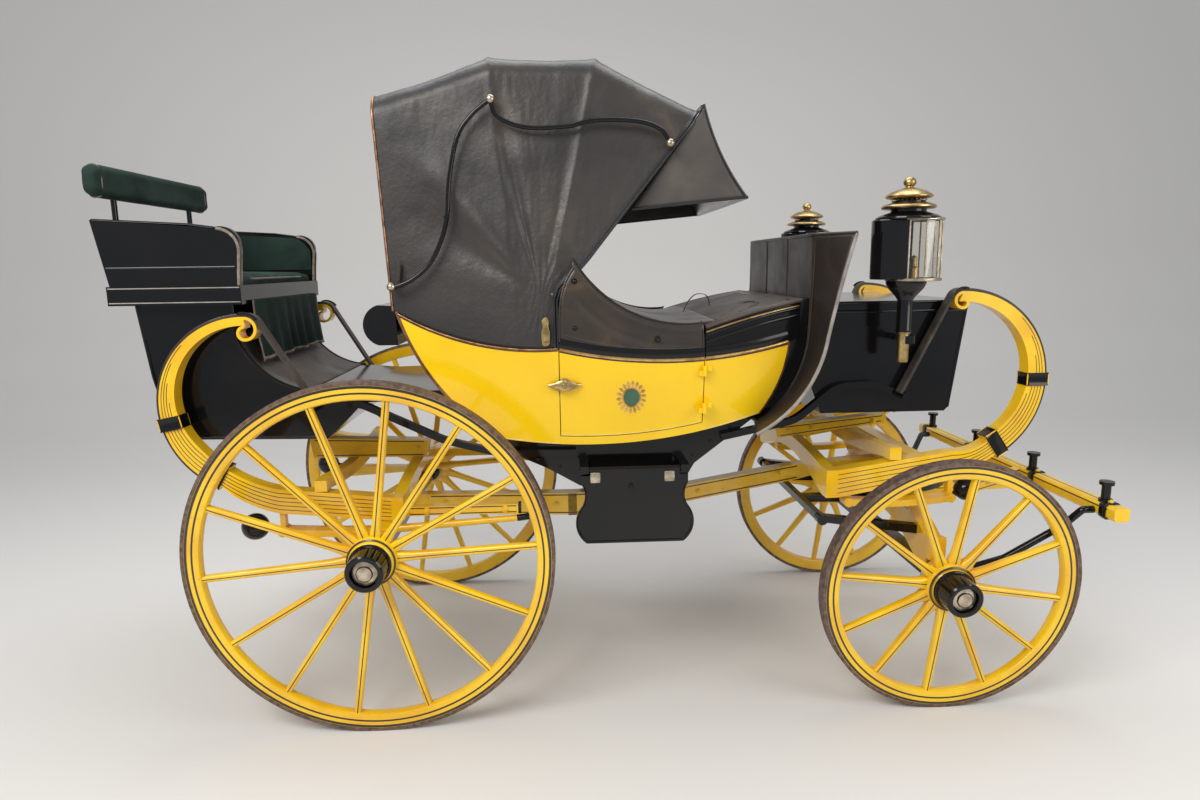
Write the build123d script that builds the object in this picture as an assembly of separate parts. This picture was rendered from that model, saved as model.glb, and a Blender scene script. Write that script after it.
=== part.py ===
from build123d import *
import math
import os

os.makedirs("parts", exist_ok=True)

# Light open travelling carriage hung on C-springs, with a leather hood, a rumble seat and a front boot.
# Millimetres, +X forward, +Y to the carriage's left, +Z up, the floor at Z = 0.
# While it is drawn, X = 0 is the rear axle. The finished parts are set down about the middle of their length.

# Wheels
WHEELBASE = 2007.0
REAR_WHEEL = {"radius": 620.0, "track": 1289.0, "camber": 1.2, "spokes": 14, "phase": 4.3}
FRONT_WHEEL = {"radius": 463.0, "track": 1301.0, "camber": 2.7, "spokes": 12, "phase": -8.0}
TYRE_WIDTH = 45.0
TYRE_THICK = 12.0
FELLOE_WIDTH = 42.0
FELLOE_DEPTH = 50.0
FELLOE_BEVEL = 9.0
SPOKE_ROOT = (40.0, 34.0)
SPOKE_WAIST = (28.0, 32.0)
SPOKE_TIP = (24.0, 28.0)
SPOKE_ROUND = 9.0
SPOKE_WAIST_RUN = 62.0
DISH_ANGLE = 3.0
NAVE_R = 86.0
NAVE_NECK_R = 66.0
NAVE_BACK = 95.0
NAVE_FRONT = 22.0
HUB_R = 68.0
HUB_NOSE_R = 63.0
HUB_REACH = 112.0
HUB_MOUTH_R = 46.0
HUB_MOUTH_DEPTH = 30.0
HUB_BOX_R = 44.0
CAP_R = 43.0
CAP_NOSE_R = 27.0
CAP_STEP = 12.0
CAP_REACH = 24.0
ARM_R = 24.0
ARM_CLEARANCE = 0.05
SHOULDER_GAP = 0.5
SHOULDER_R = 50.0
SHOULDER_THICK = 14.0
HUB_BACK = 106.0

# Axles
AXLE_SIDE = 50.0
AXLE_END_OVERLAP = 6.0

# C-springs: circle of the outer face, circle of the inner face, and the straight pack below
SPRING_INSET = 92.5
SPRING_Y = REAR_WHEEL["track"] / 2 - HUB_BACK - SPRING_INSET
SPRING_WIDTH = 56.0
SCROLL_THICK = 10.0
LEAVES = 6
LEAF_GROOVE = 1.4
LEAF_FIRST_END = 30.0
LEAF_STEP = 15.0
CLIP_THICK = 4.0
CLIP_LENGTH = 46.0
REAR_C = {
    "outer_centre": (-420.0, 1130.0), "outer_r": 310.0, "inner_centre": (-425.0, 1160.0), "inner_r": 250.0,
    "eye_z": 1398.0, "outer_leave": 246.0, "inner_leave": 222.0, "clips": ((191.0, 61.0), (241.0, 74.0)),
    "outer_bend": (-462.0, 785.0), "outer_foot": (-352.0, 744.0), "inner_bend": (-500.0, 893.0),
    "inner_foot": (-354.0, 833.0), "end_x": 37.0, "end_low": 706.0, "end_top": 791.0,
}
FRONT_C = {
    "outer_centre": (2080.0, 1170.0), "outer_r": 320.0, "inner_centre": (2075.0, 1192.0), "inner_r": 262.0,
    "eye_z": 1458.0, "outer_leave": -60.0, "inner_leave": -50.0, "clips": ((0.0, 63.0), (-56.0, 79.0)),
    "outer_bend": (2168.0, 851.0), "outer_foot": (2080.0, 818.0), "inner_bend": (2190.0, 935.0),
    "inner_foot": (2080.0, 909.0), "end_x": 1655.0, "end_low": 745.0, "end_top": 848.0,
}
STRAP_THICK = 9.0
STRAP_WIDTH = 44.0
STRAP_SIDE_GAP = 1.5
REAR_LOOP_EYE = (-221.0, 1110.0)
FRONT_LOOP_EYE = (1895.0, 1117.0)
LOOP_EYE_R = 17.0
LOOP_PIN_R = 15.0

SEAT_FIT = 0.3

# Under-springs, between the eyes, and the black balls beyond them
UNDER_LEAF = 24.0
UNDER_EYE_R = 17.0
REAR_UNDER = {"x": (-351.0, 32.0), "eye_z": 672.0}
FRONT_UNDER = {"x": (1700.0, 2084.0), "eye_z": (724.0, 730.0), "low": 704.0}
SHACKLE_HALF = 9.0
SADDLE_HALF = 32.0
REAR_BALL = (-453.0, 690.0, 48.0)
FRONT_BALL = (2150.0, 756.0, 42.0)
BALL_STEM_R = 12.0

# Perch undercarriage
PERCH_HALF = 28.0
PERCH_FRONT_TOP = 778.0
PERCH_TOP = [(1641.0, 757.0), (1160.0, 676.0), (687.0, 657.0), (25.0, 668.0)]
PERCH_LOW = [(25.0, 585.0), (687.0, 562.0), (1160.0, 604.0), (1641.0, 690.0)]
BOARD_HALF = 27.0
TRANSOM_THICK = 43.0
TRANSOM_FOOT = 58.0
REAR_BOARD = {"x": (-377.0, 104.0), "low": (835.0, 829.0), "top": (917.0, 901.0)}
FRONT_BOARD = {"x": (1541.0, 2019.0), "low": (872.0, 926.0), "top": (924.0, 965.0)}
REAR_SECOND_TRANSOM_X = -226.0
FRONT_SECOND_TRANSOM_X = 1843.0
SIDE_BEAM = {"x": 497.0, "low": 717.0, "top": 751.0, "thick": 34.0}
SIDE_STAY = {"x": 484.0, "z": (664.0, 694.0), "tip": 521.0, "r": (15.0, 11.0)}
BOLSTER_HALF_THICK = 30.0
BOLSTER_TOP = 866.0

# Turning gear
PIVOT_X = WHEELBASE
PLATE_R = 260.0
PLATE_RING = 44.0
PLATE_THICK = 12.0
PLATE_LOW = 690.0
PLATE_GAP = 0.5
KING_PIN_R = 16.0
KING_PIN_GAP = 0.06
KING_PIN_DROP = 70.0
BED_HALF_LENGTH = 548.0
BED_THICK = 60.0
BED_COLLAR_GAP = 3.0
FUTCHELL_Y = 160.0
FUTCHELL_HALF = 20.0
SWAY_BAR = {"x": (1600.0, 1626.0), "low": 638.0, "top": 664.0, "half": 440.0, "arm": 36.0, "eye_r": 20.0}
SPLINTER = {"x": 2550.0, "z": 733.0, "half": 728.0, "wide": 54.0, "deep": 48.0}
ROLLER_Y = (215.0, 640.0)
ROLLER_TOP = 830.0
ROLLER_R = 15.0
POLE_SOCKET = {"x": (2340.0, 2560.0), "half": 46.0, "slot": 62.0, "wall": 9.0, "pin_x": 2420.0, "pin_r": 13.0}
WHEEL_IRON_R = 13.0
WHEEL_IRON_INSET = 29.5

# Body: its side is a barrel, curved in plan and from sill to belt
SIDE_MIDDLE_X = 800.0
SIDE_PLAN_R = 2930.0
SIDE_CURVE = [(482.0, 940.0), (548.0, 1240.0), (540.0, 1640.0)]
BODY_WALL = 24.0
HULL_TOP = 1640.0
BELT = [(60.0, 1462.0), (330.0, 1346.0), (644.0, 1317.0), (1000.0, 1272.0), (1500.0, 1334.0)]
HULL = [(92.0, 1450.0), (222.0, 1192.0), (410.0, 1003.0), (760.0, 972.0), (1361.0, 1066.0), (1412.0, 1150.0),
        (1457.0, 1323.0)]
DOOR_X = (645.0, 1150.0)
DOOR_RISE = 30.0
DOOR_GAP = 3.0
DOOR_HINGE_GAP = 0.3
HINGE_R = 8.0
HINGE_KNUCKLE = 18.0
HINGE_LUG = 22.0
HINGE_PIN_R = 4.0
HINGE_PIN_GAP = 0.06
HINGE_Z = (1085.0, 1215.0)
HATCH_X = (655.0, 1080.0)
HATCH_LIP = 60.0
WELL = [(405.0, 975.0), (420.0, 949.0), (597.0, 868.0), (713.0, 800.0), (1090.0, 800.0), (1135.0, 875.0),
        (1240.0, 955.0), (1352.0, 1040.0)]
WELL_HALF = SPRING_Y - 32.0
WELL_WALL = 20.0
REAR_LOOP = [(-68.0, 1130.0), (234.0, 985.0), (420.0, 936.0), (700.0, 930.0)]
FRONT_LOOP = [(1779.0, 1158.0), (1650.0, 1152.0), (1500.0, 1030.0), (1230.0, 975.0)]
LOOP_WIDTH = 28.0
LOOP_THICK = 24.0
STEP_X = (708.0, 1104.0)
STEP_Z = (612.0, 880.0)
STEP_Y = 506.0
STEP_THICK = 16.0
STEP_ROD_R = 10.0
STEP_PIN_R = 5.0
STEP_BRACKET_WIDE = 30.0

# Hood: each bow by its foot, its top and its half widths there
HOOD_WALL = 12.0
BOW_CORNER = 85.0
BOW_CROWN = 26.0
BOWS = [
    {"foot": (89.0, 1290.0), "top": (44.0, 2166.0), "half_foot": 470.0, "half_top": 452.0},
    {"foot": (520.0, 1290.0), "top": (431.0, 2286.0), "half_foot": 536.0, "half_top": 470.0},
    {"foot": (575.0, 1290.0), "top": (789.0, 2280.0), "half_foot": 545.0, "half_top": 474.0},
    {"foot": (650.0, 1290.0), "top": (1149.0, 2108.0), "half_foot": 551.0, "half_top": 474.0},
]
HOOD_FRONT = [(1149.0, 2108.0), (741.0, 1601.0), (645.0, 1504.0), (645.0, 1250.0)]
VISOR_TIP = (1299.0, 1819.0)
VISOR_BACK = (905.0, 1783.0)
VISOR_HALF = 466.0
VISOR_WALL = 10.0
IRON_Y = 512.0
IRON_R = 8.0
IRON_KNOB_R = 15.0
REAR_IRON = [(89.0, 1534.0), (204.0, 1556.0), (284.0, 1751.0), (298.0, 1927.0), (350.0, 2105.0), (443.0, 2132.0)]
FRONT_IRON = [(443.0, 2132.0), (505.0, 2050.0), (617.0, 2041.0), (757.0, 2063.0), (960.0, 2076.0), (1031.0, 1990.0)]

# Seats, boots and dash
APRON_THICK = 12.0
APRON_HALF = 500.0
APRON_CURVE = [(705.0, 1616.0), (838.0, 1472.0), (1190.0, 1404.0)]
APRON_CREASE = [(700.0, 1604.0), (835.0, 1456.0), (1142.0, 1384.0)]
DECK_TOP = [(1150.0, 1384.0), (1310.0, 1430.0), (1500.0, 1468.0)]
DECK_INSET = 4.0
TOE_HALF = 440.0
SEAT_BACK_HALF = 430.0
CASE_HALF = 430.0
DASH_X = 1536.0
DASH_THICK = 14.0
DASH_TOP = 1690.0
DASH_HALF = 450.0
WING_HALF = 600.0
FRONT_BOOT = {"x": (1551.0, 2130.0), "foot_x": (1600.0, 2078.0), "z": (1050.0, 1457.0), "half": SPRING_Y - 32.3}
REAR_BOOT_HALF = 380.0
SEAT_HALF = 420.0
SEAT_SIDE_THICK = 22.0
SEAT_PLINTH = 8.0
HEADREST = {"x": -905.0, "z": (1843.0, 1956.0), "thick": 56.0, "half": 425.0, "post_y": 280.0, "round": 16.0,
            "end_round": 50.0}
LAMP = {"x": 1850.0, "y": 547.0, "body": (1535.0, 1735.0), "tube": 1250.0}
LAMP_TUBE_R = 21.0
LAMP_COLLAR = 5.0
LAMP_DRUM = {"x": 1858.0, "r": 88.0, "sides": 10, "rim": 10.0, "proud": 4.0}
LAMP_CASE = {"x": (1712.0, 1800.0), "half": 70.0}
LAMP_ROOF_X = 1830.0


def block(x0, x1, y0, y1, z0, z1):
    size = Box(x1 - x0, y1 - y0, z1 - z0)
    return Pos((x0 + x1) / 2, (y0 + y1) / 2, (z0 + z1) / 2) * size


def both_sides(shape):
    return [shape, mirror(shape, about=Plane.XZ)]


def rod(start, end, radius, end_radius=None):
    start = Vector(*start)
    end = Vector(*end)
    plane = Plane(origin=start, z_dir=end - start)
    top = radius if end_radius is None else end_radius
    if top == radius:
        return Solid.make_cylinder(radius, (end - start).length, plane)
    return Solid.make_cone(radius, top, (end - start).length, plane)


def cross_rod(x, z, radius, y0, y1):
    return rod((x, y0, z), (x, y1, z), radius)


def side_face(*steps):
    """A flat face in the XZ plane. Each step is the next (x, z), or (middle, next) for an arc."""
    edges = []
    here = steps[0]
    for step in steps[1:] + (steps[0],):
        if isinstance(step[0], tuple):
            middle, there = step
            edges.append(ThreePointArc((here[0], 0, here[1]), (middle[0], 0, middle[1]), (there[0], 0, there[1])))
        else:
            there = step
            if math.dist(here, there) < 0.001:
                continue
            edges.append(Line((here[0], 0, here[1]), (there[0], 0, there[1])))
        here = there
    return Face(Wire(edges))


def cross_face(*steps):
    """A flat face in the YZ plane, given like side_face but with (y, z)."""
    edges = []
    here = steps[0]
    for step in steps[1:] + (steps[0],):
        if isinstance(step[0], tuple):
            middle, there = step
            edges.append(ThreePointArc((0, here[0], here[1]), (0, middle[0], middle[1]), (0, there[0], there[1])))
        else:
            there = step
            if math.dist(here, there) < 0.001:
                continue
            edges.append(Line((0, here[0], here[1]), (0, there[0], there[1])))
        here = there
    return Face(Wire(edges))


def across(face, y0, y1):
    return Solid.extrude(face.moved(Location((0, y0, 0))), Vector(0, y1 - y0, 0))


def along(face, x0, x1):
    return Solid.extrude(face.moved(Location((x0, 0, 0))), Vector(x1 - x0, 0, 0))


def round_bar(points, bends, radius):
    path = FilletPolyline(*points, radius=bends)
    start = Plane(origin=path @ 0, z_dir=path % 0)
    return sweep(start * Circle(radius), path=path)


def flat_bar(path, width, thick):
    start = Plane(origin=path @ 0, x_dir=(0, 1, 0), z_dir=path % 0)
    return sweep(start * Rectangle(width, thick), path=path)


def on_circle(centre, radius, degrees):
    angle = math.radians(degrees)
    return (centre[0] + radius * math.cos(angle), centre[1] + radius * math.sin(angle))


nodes = {}


# Wheels. Each is drawn about its own axis, local Z pointing outwards, and set on its cambered axle arm.
def wheel_plane(wheel, x, side):
    tilt = math.radians(wheel["camber"])
    origin = (x, side * wheel["track"] / 2, wheel["radius"] * math.cos(tilt))
    return Plane(origin=origin, x_dir=(1, 0, 0), z_dir=(0, side * math.cos(tilt), -math.sin(tilt)))


def ring(points):
    face = side_face(*points)
    return revolve(face, axis=Axis.Z)


def tyre(wheel):
    radius = wheel["radius"]
    rise = TYRE_WIDTH / 2 * math.tan(math.radians(wheel["camber"]))
    half = TYRE_WIDTH / 2
    inner = radius - TYRE_THICK
    return ring([(inner, -half), (radius + rise, -half), (radius - rise, half), (inner, half)])


def wheel_wood(wheel):
    outer = wheel["radius"] - TYRE_THICK
    inner = outer - FELLOE_DEPTH
    half = FELLOE_WIDTH / 2
    felloe = ring([(inner, -half + FELLOE_BEVEL), (inner + FELLOE_BEVEL, -half), (outer, -half), (outer, half),
                   (inner + FELLOE_BEVEL, half), (inner, half - FELLOE_BEVEL)])
    slope = math.tan(math.radians(DISH_ANGLE))
    set_back = (inner - NAVE_R) * slope
    bore = HUB_BOX_R
    nave = ring([(bore, -NAVE_BACK), (NAVE_NECK_R, -NAVE_BACK), (NAVE_NECK_R + 6, -NAVE_BACK + 14),
                 (NAVE_R - 4, -set_back - 22), (NAVE_R, -set_back - 17), (NAVE_R, -set_back + 17),
                 (NAVE_R - 8, -set_back + 24), (NAVE_R - 8, NAVE_FRONT - 12), (HUB_R + 4, NAVE_FRONT),
                 (bore, NAVE_FRONT)])

    def section(radius, size):
        plane = Plane(origin=(radius, 0, (radius - inner) * slope), x_dir=(0, 1, 0), z_dir=(1, 0, 0))
        return plane * RectangleRounded(size[0], size[1], SPOKE_ROUND)

    spoke = loft([section(NAVE_R - 10, SPOKE_ROOT), section(NAVE_R + SPOKE_WAIST_RUN, SPOKE_WAIST),
                  section(inner + 6, SPOKE_TIP)], ruled=True)
    count = wheel["spokes"]
    spokes = [Rot(0, 0, wheel["phase"] + 360 / count * turn) * spoke for turn in range(count)]
    return felloe + nave + spokes


def hub(wheel):
    bore = ARM_R + ARM_CLEARANCE
    mouth = HUB_REACH - HUB_MOUTH_DEPTH
    return ring([(bore, -HUB_BACK), (HUB_BOX_R, -HUB_BACK), (HUB_BOX_R, NAVE_FRONT), (HUB_R, NAVE_FRONT),
                 (HUB_R, NAVE_FRONT + 12), (HUB_R - 2, NAVE_FRONT + 16), (HUB_NOSE_R, HUB_REACH - 5),
                 (HUB_NOSE_R - 5, HUB_REACH), (HUB_MOUTH_R, HUB_REACH), (HUB_MOUTH_R, mouth),
                 (CAP_R, mouth), (CAP_R, mouth + CAP_STEP), (CAP_R - 4, mouth + CAP_STEP + 4),
                 (CAP_NOSE_R, mouth + CAP_STEP + 4), (CAP_NOSE_R, mouth + CAP_REACH), (0, mouth + CAP_REACH),
                 (0, mouth - 6), (bore, mouth - 6)])


def axle_arm(wheel):
    end = HUB_REACH - HUB_MOUTH_DEPTH - 8
    shoulder = HUB_BACK + SHOULDER_GAP
    track = wheel["track"] / 2
    arm = ring([(0, -shoulder - SHOULDER_THICK - 8), (ARM_R, -shoulder - SHOULDER_THICK - 8),
                (ARM_R, -shoulder - SHOULDER_THICK), (SHOULDER_R, -shoulder - SHOULDER_THICK),
                (SHOULDER_R, -shoulder), (ARM_R, -shoulder), (ARM_R, end), (0, end)])
    return arm


def axle_height(wheel):
    tilt = math.radians(wheel["camber"])
    inboard = HUB_BACK + SHOULDER_GAP + SHOULDER_THICK
    return wheel["radius"] * math.cos(tilt) + inboard * math.tan(tilt)


def axle(wheel, x):
    shoulder = wheel["track"] / 2 - HUB_BACK - SHOULDER_GAP - SHOULDER_THICK
    height = axle_height(wheel)
    half = AXLE_SIDE / 2
    beam = block(x - half, x + half, -shoulder - AXLE_END_OVERLAP, shoulder + AXLE_END_OVERLAP,
                 height - half, height + half)
    arms = [wheel_plane(wheel, x, side) * axle_arm(wheel) for side in (-1, 1)]
    return beam + arms


for name, wheel, place in (("rear", REAR_WHEEL, 0.0), ("front", FRONT_WHEEL, WHEELBASE)):
    plane = wheel_plane(wheel, place, -1)
    for piece, shape in (("tyre", tyre(wheel)), ("wheel", wheel_wood(wheel)), ("hub", hub(wheel))):
        right, left = both_sides(plane * shape)
        nodes[f"{name}_{piece}_right"] = [right]
        nodes[f"{name}_{piece}_left"] = [left]
    nodes[f"{name}_axle"] = [axle(wheel, place)]


# C-springs: packs of leaves that sweep up from the transoms and end in a scroll, round which the brace turns.
def c_spring(spec, turn):
    outer = [on_circle(spec["outer_centre"], spec["outer_r"], a) for a in
             (90, 90 - turn * 75, spec["outer_leave"])]
    inner = [on_circle(spec["inner_centre"], spec["inner_r"], a) for a in
             (spec["inner_leave"], 90 - turn * 75, 90 + turn * 2)]
    face = side_face(
        outer[0], (outer[1], outer[2]), (spec["outer_bend"], spec["outer_foot"]),
        (spec["end_x"], spec["end_low"]), (spec["end_x"], spec["end_top"]), spec["inner_foot"],
        (spec["inner_bend"], inner[0]), (inner[1], inner[2]),
    )
    near = -SPRING_Y - SPRING_WIDTH / 2
    far = -SPRING_Y + SPRING_WIDTH / 2
    spring = across(face, near, far) + across(volute(spec, turn), near, far)
    for index in range(1, LEAVES):
        groove = leaf_groove(spec, turn, index)
        spring -= across(groove, near - 1, near + LEAF_GROOVE)
        spring -= across(groove, far - LEAF_GROOVE, far + 1)
    return spring


def volute(spec, turn):
    """The main leaf's end, curled inwards through two half turns, each smaller than the last."""
    x, top = spec["outer_centre"][0], spec["outer_centre"][1] + spec["outer_r"]
    big, thick = scroll_radius(spec), SCROLL_THICK
    small = (big + thick + 2) / 2
    low = top - 2 * big
    return side_face((x, top), ((x - turn * big, top - big), (x, low)), ((x + turn * small, low + small), (x, low + 2 * small)),
                     (x, low + 2 * small - thick),
                     ((x + turn * (small - thick), low + small), (x, low + thick)),
                     ((x - turn * (big - thick), top - big), (x, top - thick)))


def pack_rail(spec, share):
    """A line through the pack: 0 at its outer face and 1 at its inner face."""
    def between(low, high):
        return tuple(a + (b - a) * share for a, b in zip(low, high))

    centre = between(spec["outer_centre"], spec["inner_centre"])
    (radius,) = between((spec["outer_r"],), (spec["inner_r"],))
    (leave,) = between((spec["outer_leave"],), (spec["inner_leave"],))
    end = between((spec["end_x"], spec["end_low"]), (spec["end_x"], spec["end_top"]))
    return (centre, radius, leave, between(spec["outer_bend"], spec["inner_bend"]),
            between(spec["outer_foot"], spec["inner_foot"]), end)


def leaf_groove(spec, turn, index):
    """The seam between two leaves, from the pack's end up to where the shorter leaf stops."""
    stop = 90 - turn * (LEAF_FIRST_END + LEAF_STEP * index)
    rails = []
    for edge in (-0.5, 0.5):
        centre, radius, leave, bend, foot, end = pack_rail(spec, index / LEAVES + edge * LEAF_GROOVE / 60)
        start, middle, last = (on_circle(centre, radius, a) for a in (stop, (stop + leave) / 2, leave))
        rails.append((start, middle, last, bend, foot, (end[0] - turn * 1.0, end[1])))
    a, b = rails
    return side_face(a[0], (a[1], a[2]), (a[3], a[4]), a[5], b[5], b[4], (b[3], b[2]), (b[1], b[0]))


def spring_clip(spec, angle, pack):
    """An iron clip round the pack, which is so thick there, and round the brace on its back."""
    deep = pack + STRAP_THICK + 2 * CLIP_THICK
    x, z = on_circle(spec["outer_centre"], spec["outer_r"] + STRAP_THICK + CLIP_THICK - deep / 2, angle)
    return Pos(x, -SPRING_Y, z) * Rot(0, -angle, 0) * Box(deep, SPRING_WIDTH + 2 * CLIP_THICK, CLIP_LENGTH)


def scroll_radius(spec):
    return spec["outer_centre"][1] + spec["outer_r"] - spec["eye_z"]


def brace(spec, turn, loop_eye):
    """The leather brace: up the back of the C, over the scroll and down to the body loop's pin."""
    eye = (spec["outer_centre"][0], spec["eye_z"])
    heading = math.atan2(loop_eye[1] - eye[1], loop_eye[0] - eye[0])
    swing = math.acos((scroll_radius(spec) - LOOP_PIN_R - SEAT_FIT) / math.dist(eye, loop_eye))
    lift = math.degrees(heading - turn * swing) % 360
    lows = []
    for thick in (0.0, STRAP_THICK):
        c_r = spec["outer_r"] + thick
        s_r = scroll_radius(spec) + thick
        start = on_circle(spec["outer_centre"], c_r, spec["clips"][1][0])
        back = on_circle(spec["outer_centre"], c_r, 90 - turn * 75)
        top = (eye[0], spec["eye_z"] + s_r)
        bend = on_circle(eye, s_r, (90 + lift) / 2)
        leave = on_circle(eye, s_r, lift)
        end = on_circle(loop_eye, LOOP_PIN_R + thick + SEAT_FIT, lift)
        lows.append((start, back, top, bend, leave, end))
    a, b = lows
    face = side_face(a[0], (a[1], a[2]), (a[3], a[4]), a[5], b[5], b[4], (b[3], b[2]), (b[1], b[0]))
    half = STRAP_WIDTH / 2
    return across(face, -SPRING_Y - half, -SPRING_Y + half)


nodes["braces"] = []
for name, spec, turn, loop_eye in (("rear", REAR_C, -1, REAR_LOOP_EYE), ("front", FRONT_C, 1, FRONT_LOOP_EYE)):
    strap = brace(spec, turn, loop_eye)
    spring = c_spring(spec, turn)
    for angle, pack in spec["clips"]:
        spring += spring_clip(spec, angle, pack) - strap
    nodes[f"{name}_c_springs"] = both_sides(spring)
    nodes["braces"] += both_sides(strap)


# Under-springs and balls.
def under_leaf(x0, x1, seat, ends, low):
    """A flat spring bowed between its ends, with a rolled eye at each end that is named in the seat table."""
    near = -SPRING_Y - SPRING_WIDTH / 2
    far = -SPRING_Y + SPRING_WIDTH / 2
    (z0, z1), middle = ends, (x0 + x1) / 2
    half = UNDER_LEAF / 2
    face = side_face((x0, z0 - half), ((middle, low), (x1, z1 - half)), (x1, z1 + half),
                     ((middle, low + UNDER_LEAF), (x0, z0 + half)))
    spring = across(face, near, far)
    for x, z, carrier in seat:
        spring += cross_rod(x, z, UNDER_EYE_R, near, far)
        spring += block(x - SHACKLE_HALF, x + SHACKLE_HALF, near + 14, far - 14, z, carrier)
    return spring


def pack_low(spec, x):
    x0, z0 = spec["outer_foot"]
    share = (x - x0) / (spec["end_x"] - x0)
    return z0 + max(share, 0) * (spec["end_low"] - z0)


def pack_top(spec, x):
    x0, z0 = spec["inner_foot"]
    return z0 + (x - x0) / (spec["end_x"] - x0) * (spec["end_top"] - z0)


def under_pack(spec, x, half):
    return min(pack_low(spec, x - half), pack_low(spec, x + half)) - SEAT_FIT


def ball(place, eye):
    x, z, radius = place
    sphere = Pos(x, -SPRING_Y, z) * Sphere(radius)
    reach = math.dist((x, z), eye)
    share = (UNDER_EYE_R + SEAT_FIT) / reach
    start = (eye[0] + (x - eye[0]) * share, -SPRING_Y, eye[1] + (z - eye[1]) * share)
    return sphere + rod(start, (x, -SPRING_Y, z), BALL_STEM_R)


rear_axle_top = axle_height(REAR_WHEEL) + AXLE_SIDE / 2
(rear_eye_x, rear_tip_x), rear_eye_z = REAR_UNDER["x"], REAR_UNDER["eye_z"]
leaf = under_leaf(rear_eye_x, -rear_eye_x, [(rear_eye_x, rear_eye_z, under_pack(REAR_C, rear_eye_x, SHACKLE_HALF))],
                  (rear_eye_z, rear_eye_z), rear_axle_top + SEAT_FIT)
leaf &= block(rear_eye_x - 50, SADDLE_HALF, -700, 0, 0, 1000)
saddle = block(-SADDLE_HALF, SADDLE_HALF, -SPRING_Y - 22, -SPRING_Y + 22, rear_axle_top + SEAT_FIT,
               under_pack(REAR_C, 0, SADDLE_HALF))
stay = rod((0, -SPRING_Y, SIDE_STAY["z"][0]), (SIDE_STAY["x"], -SPRING_Y, SIDE_STAY["z"][1]), *SIDE_STAY["r"])
stay += rod((SIDE_STAY["x"], -SPRING_Y, SIDE_STAY["z"][1]), (SIDE_STAY["tip"], -SPRING_Y, SIDE_STAY["z"][1] + 4),
            SIDE_STAY["r"][1] - 2)
stay &= block(0, 700, -700, 0, rear_axle_top + SEAT_FIT, 1000)
nodes["rear_under_springs"] = both_sides(leaf + saddle + stay)
front_eyes = [(x, z, under_pack(FRONT_C, x, SHACKLE_HALF)) for x, z in zip(FRONT_UNDER["x"], FRONT_UNDER["eye_z"])]
front_leaf = under_leaf(*FRONT_UNDER["x"], front_eyes, FRONT_UNDER["eye_z"], FRONT_UNDER["low"])
nodes["front_under_springs"] = both_sides(front_leaf)
balls = [ball(REAR_BALL, (rear_eye_x, rear_eye_z)), ball(FRONT_BALL, (FRONT_UNDER["x"][1], FRONT_UNDER["eye_z"][1]))]
nodes["spring_balls"] = both_sides(balls[0]) + both_sides(balls[1])


# Hind carriage, perch and upper fore carriage.
def transom(x0, x1, ends, crown):
    """A cross board, lower at its ends on the packs and arched up to the board above its middle."""
    half = SPRING_Y + SPRING_WIDTH / 2
    end_low, end_top = ends
    mid_low, mid_top = crown
    low = end_low * 0.35 + mid_low * 0.65
    top = end_top * 0.35 + mid_top * 0.65
    foot = half - TRANSOM_FOOT
    face = cross_face((-half, end_low), (-foot, end_low), ((-half * 0.5, low), (-70, mid_low)), (70, mid_low),
                      ((half * 0.5, low), (foot, end_low)), (half, end_low), (half, end_top), (foot, end_top),
                      ((half * 0.5, top), (70, mid_top)), (-70, mid_top), ((-half * 0.5, top), (-foot, end_top)),
                      (-half, end_top))
    return along(face, x0, x1)


def board_low(board, x):
    (x0, x1), (z0, z1) = board["x"], board["low"]
    return z0 + (x - x0) / (x1 - x0) * (z1 - z0)


def top_board(board):
    (x0, x1), (l0, l1), (t0, t1) = board["x"], board["low"], board["top"]
    return across(side_face((x0 + 12, l0), (x1 - 12, l1), (x1, t1 - 12), (x1 - 12, t1), (x0, t0)),
                  -BOARD_HALF, BOARD_HALF)


rear_end = REAR_C["end_x"]
x0, x1 = rear_end, rear_end + TRANSOM_THICK
first = transom(x0, x1, (REAR_C["end_low"], REAR_C["end_top"]), (785.0, min(board_low(REAR_BOARD, x1), 840)))
x0, x1 = REAR_SECOND_TRANSOM_X, REAR_SECOND_TRANSOM_X + TRANSOM_THICK
rest = max(pack_top(REAR_C, x0), pack_top(REAR_C, x1)) + SEAT_FIT
second = transom(x0, x1, (rest, rest + 40.0), (785.0, board_low(REAR_BOARD, x1)))
side_beam = block(rear_end + TRANSOM_THICK, SIDE_BEAM["x"], -SPRING_Y - SIDE_BEAM["thick"] / 2,
                  -SPRING_Y + SIDE_BEAM["thick"] / 2, SIDE_BEAM["low"], SIDE_BEAM["top"])
nodes["hind_transoms"] = [first + both_sides(side_beam), second, top_board(REAR_BOARD)]

plate_top = PLATE_LOW + 2 * PLATE_THICK + PLATE_GAP
bolster_x = (PIVOT_X - BOLSTER_HALF_THICK, PIVOT_X + BOLSTER_HALF_THICK)
perch_low = PERCH_LOW + [(PIVOT_X - PLATE_R - 12, plate_top), (bolster_x[0], plate_top)]
perch_top = [(bolster_x[0], PERCH_FRONT_TOP)] + PERCH_TOP
nodes["perch"] = [across(side_face(*perch_low, *perch_top), -PERCH_HALF, PERCH_HALF)]

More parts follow.
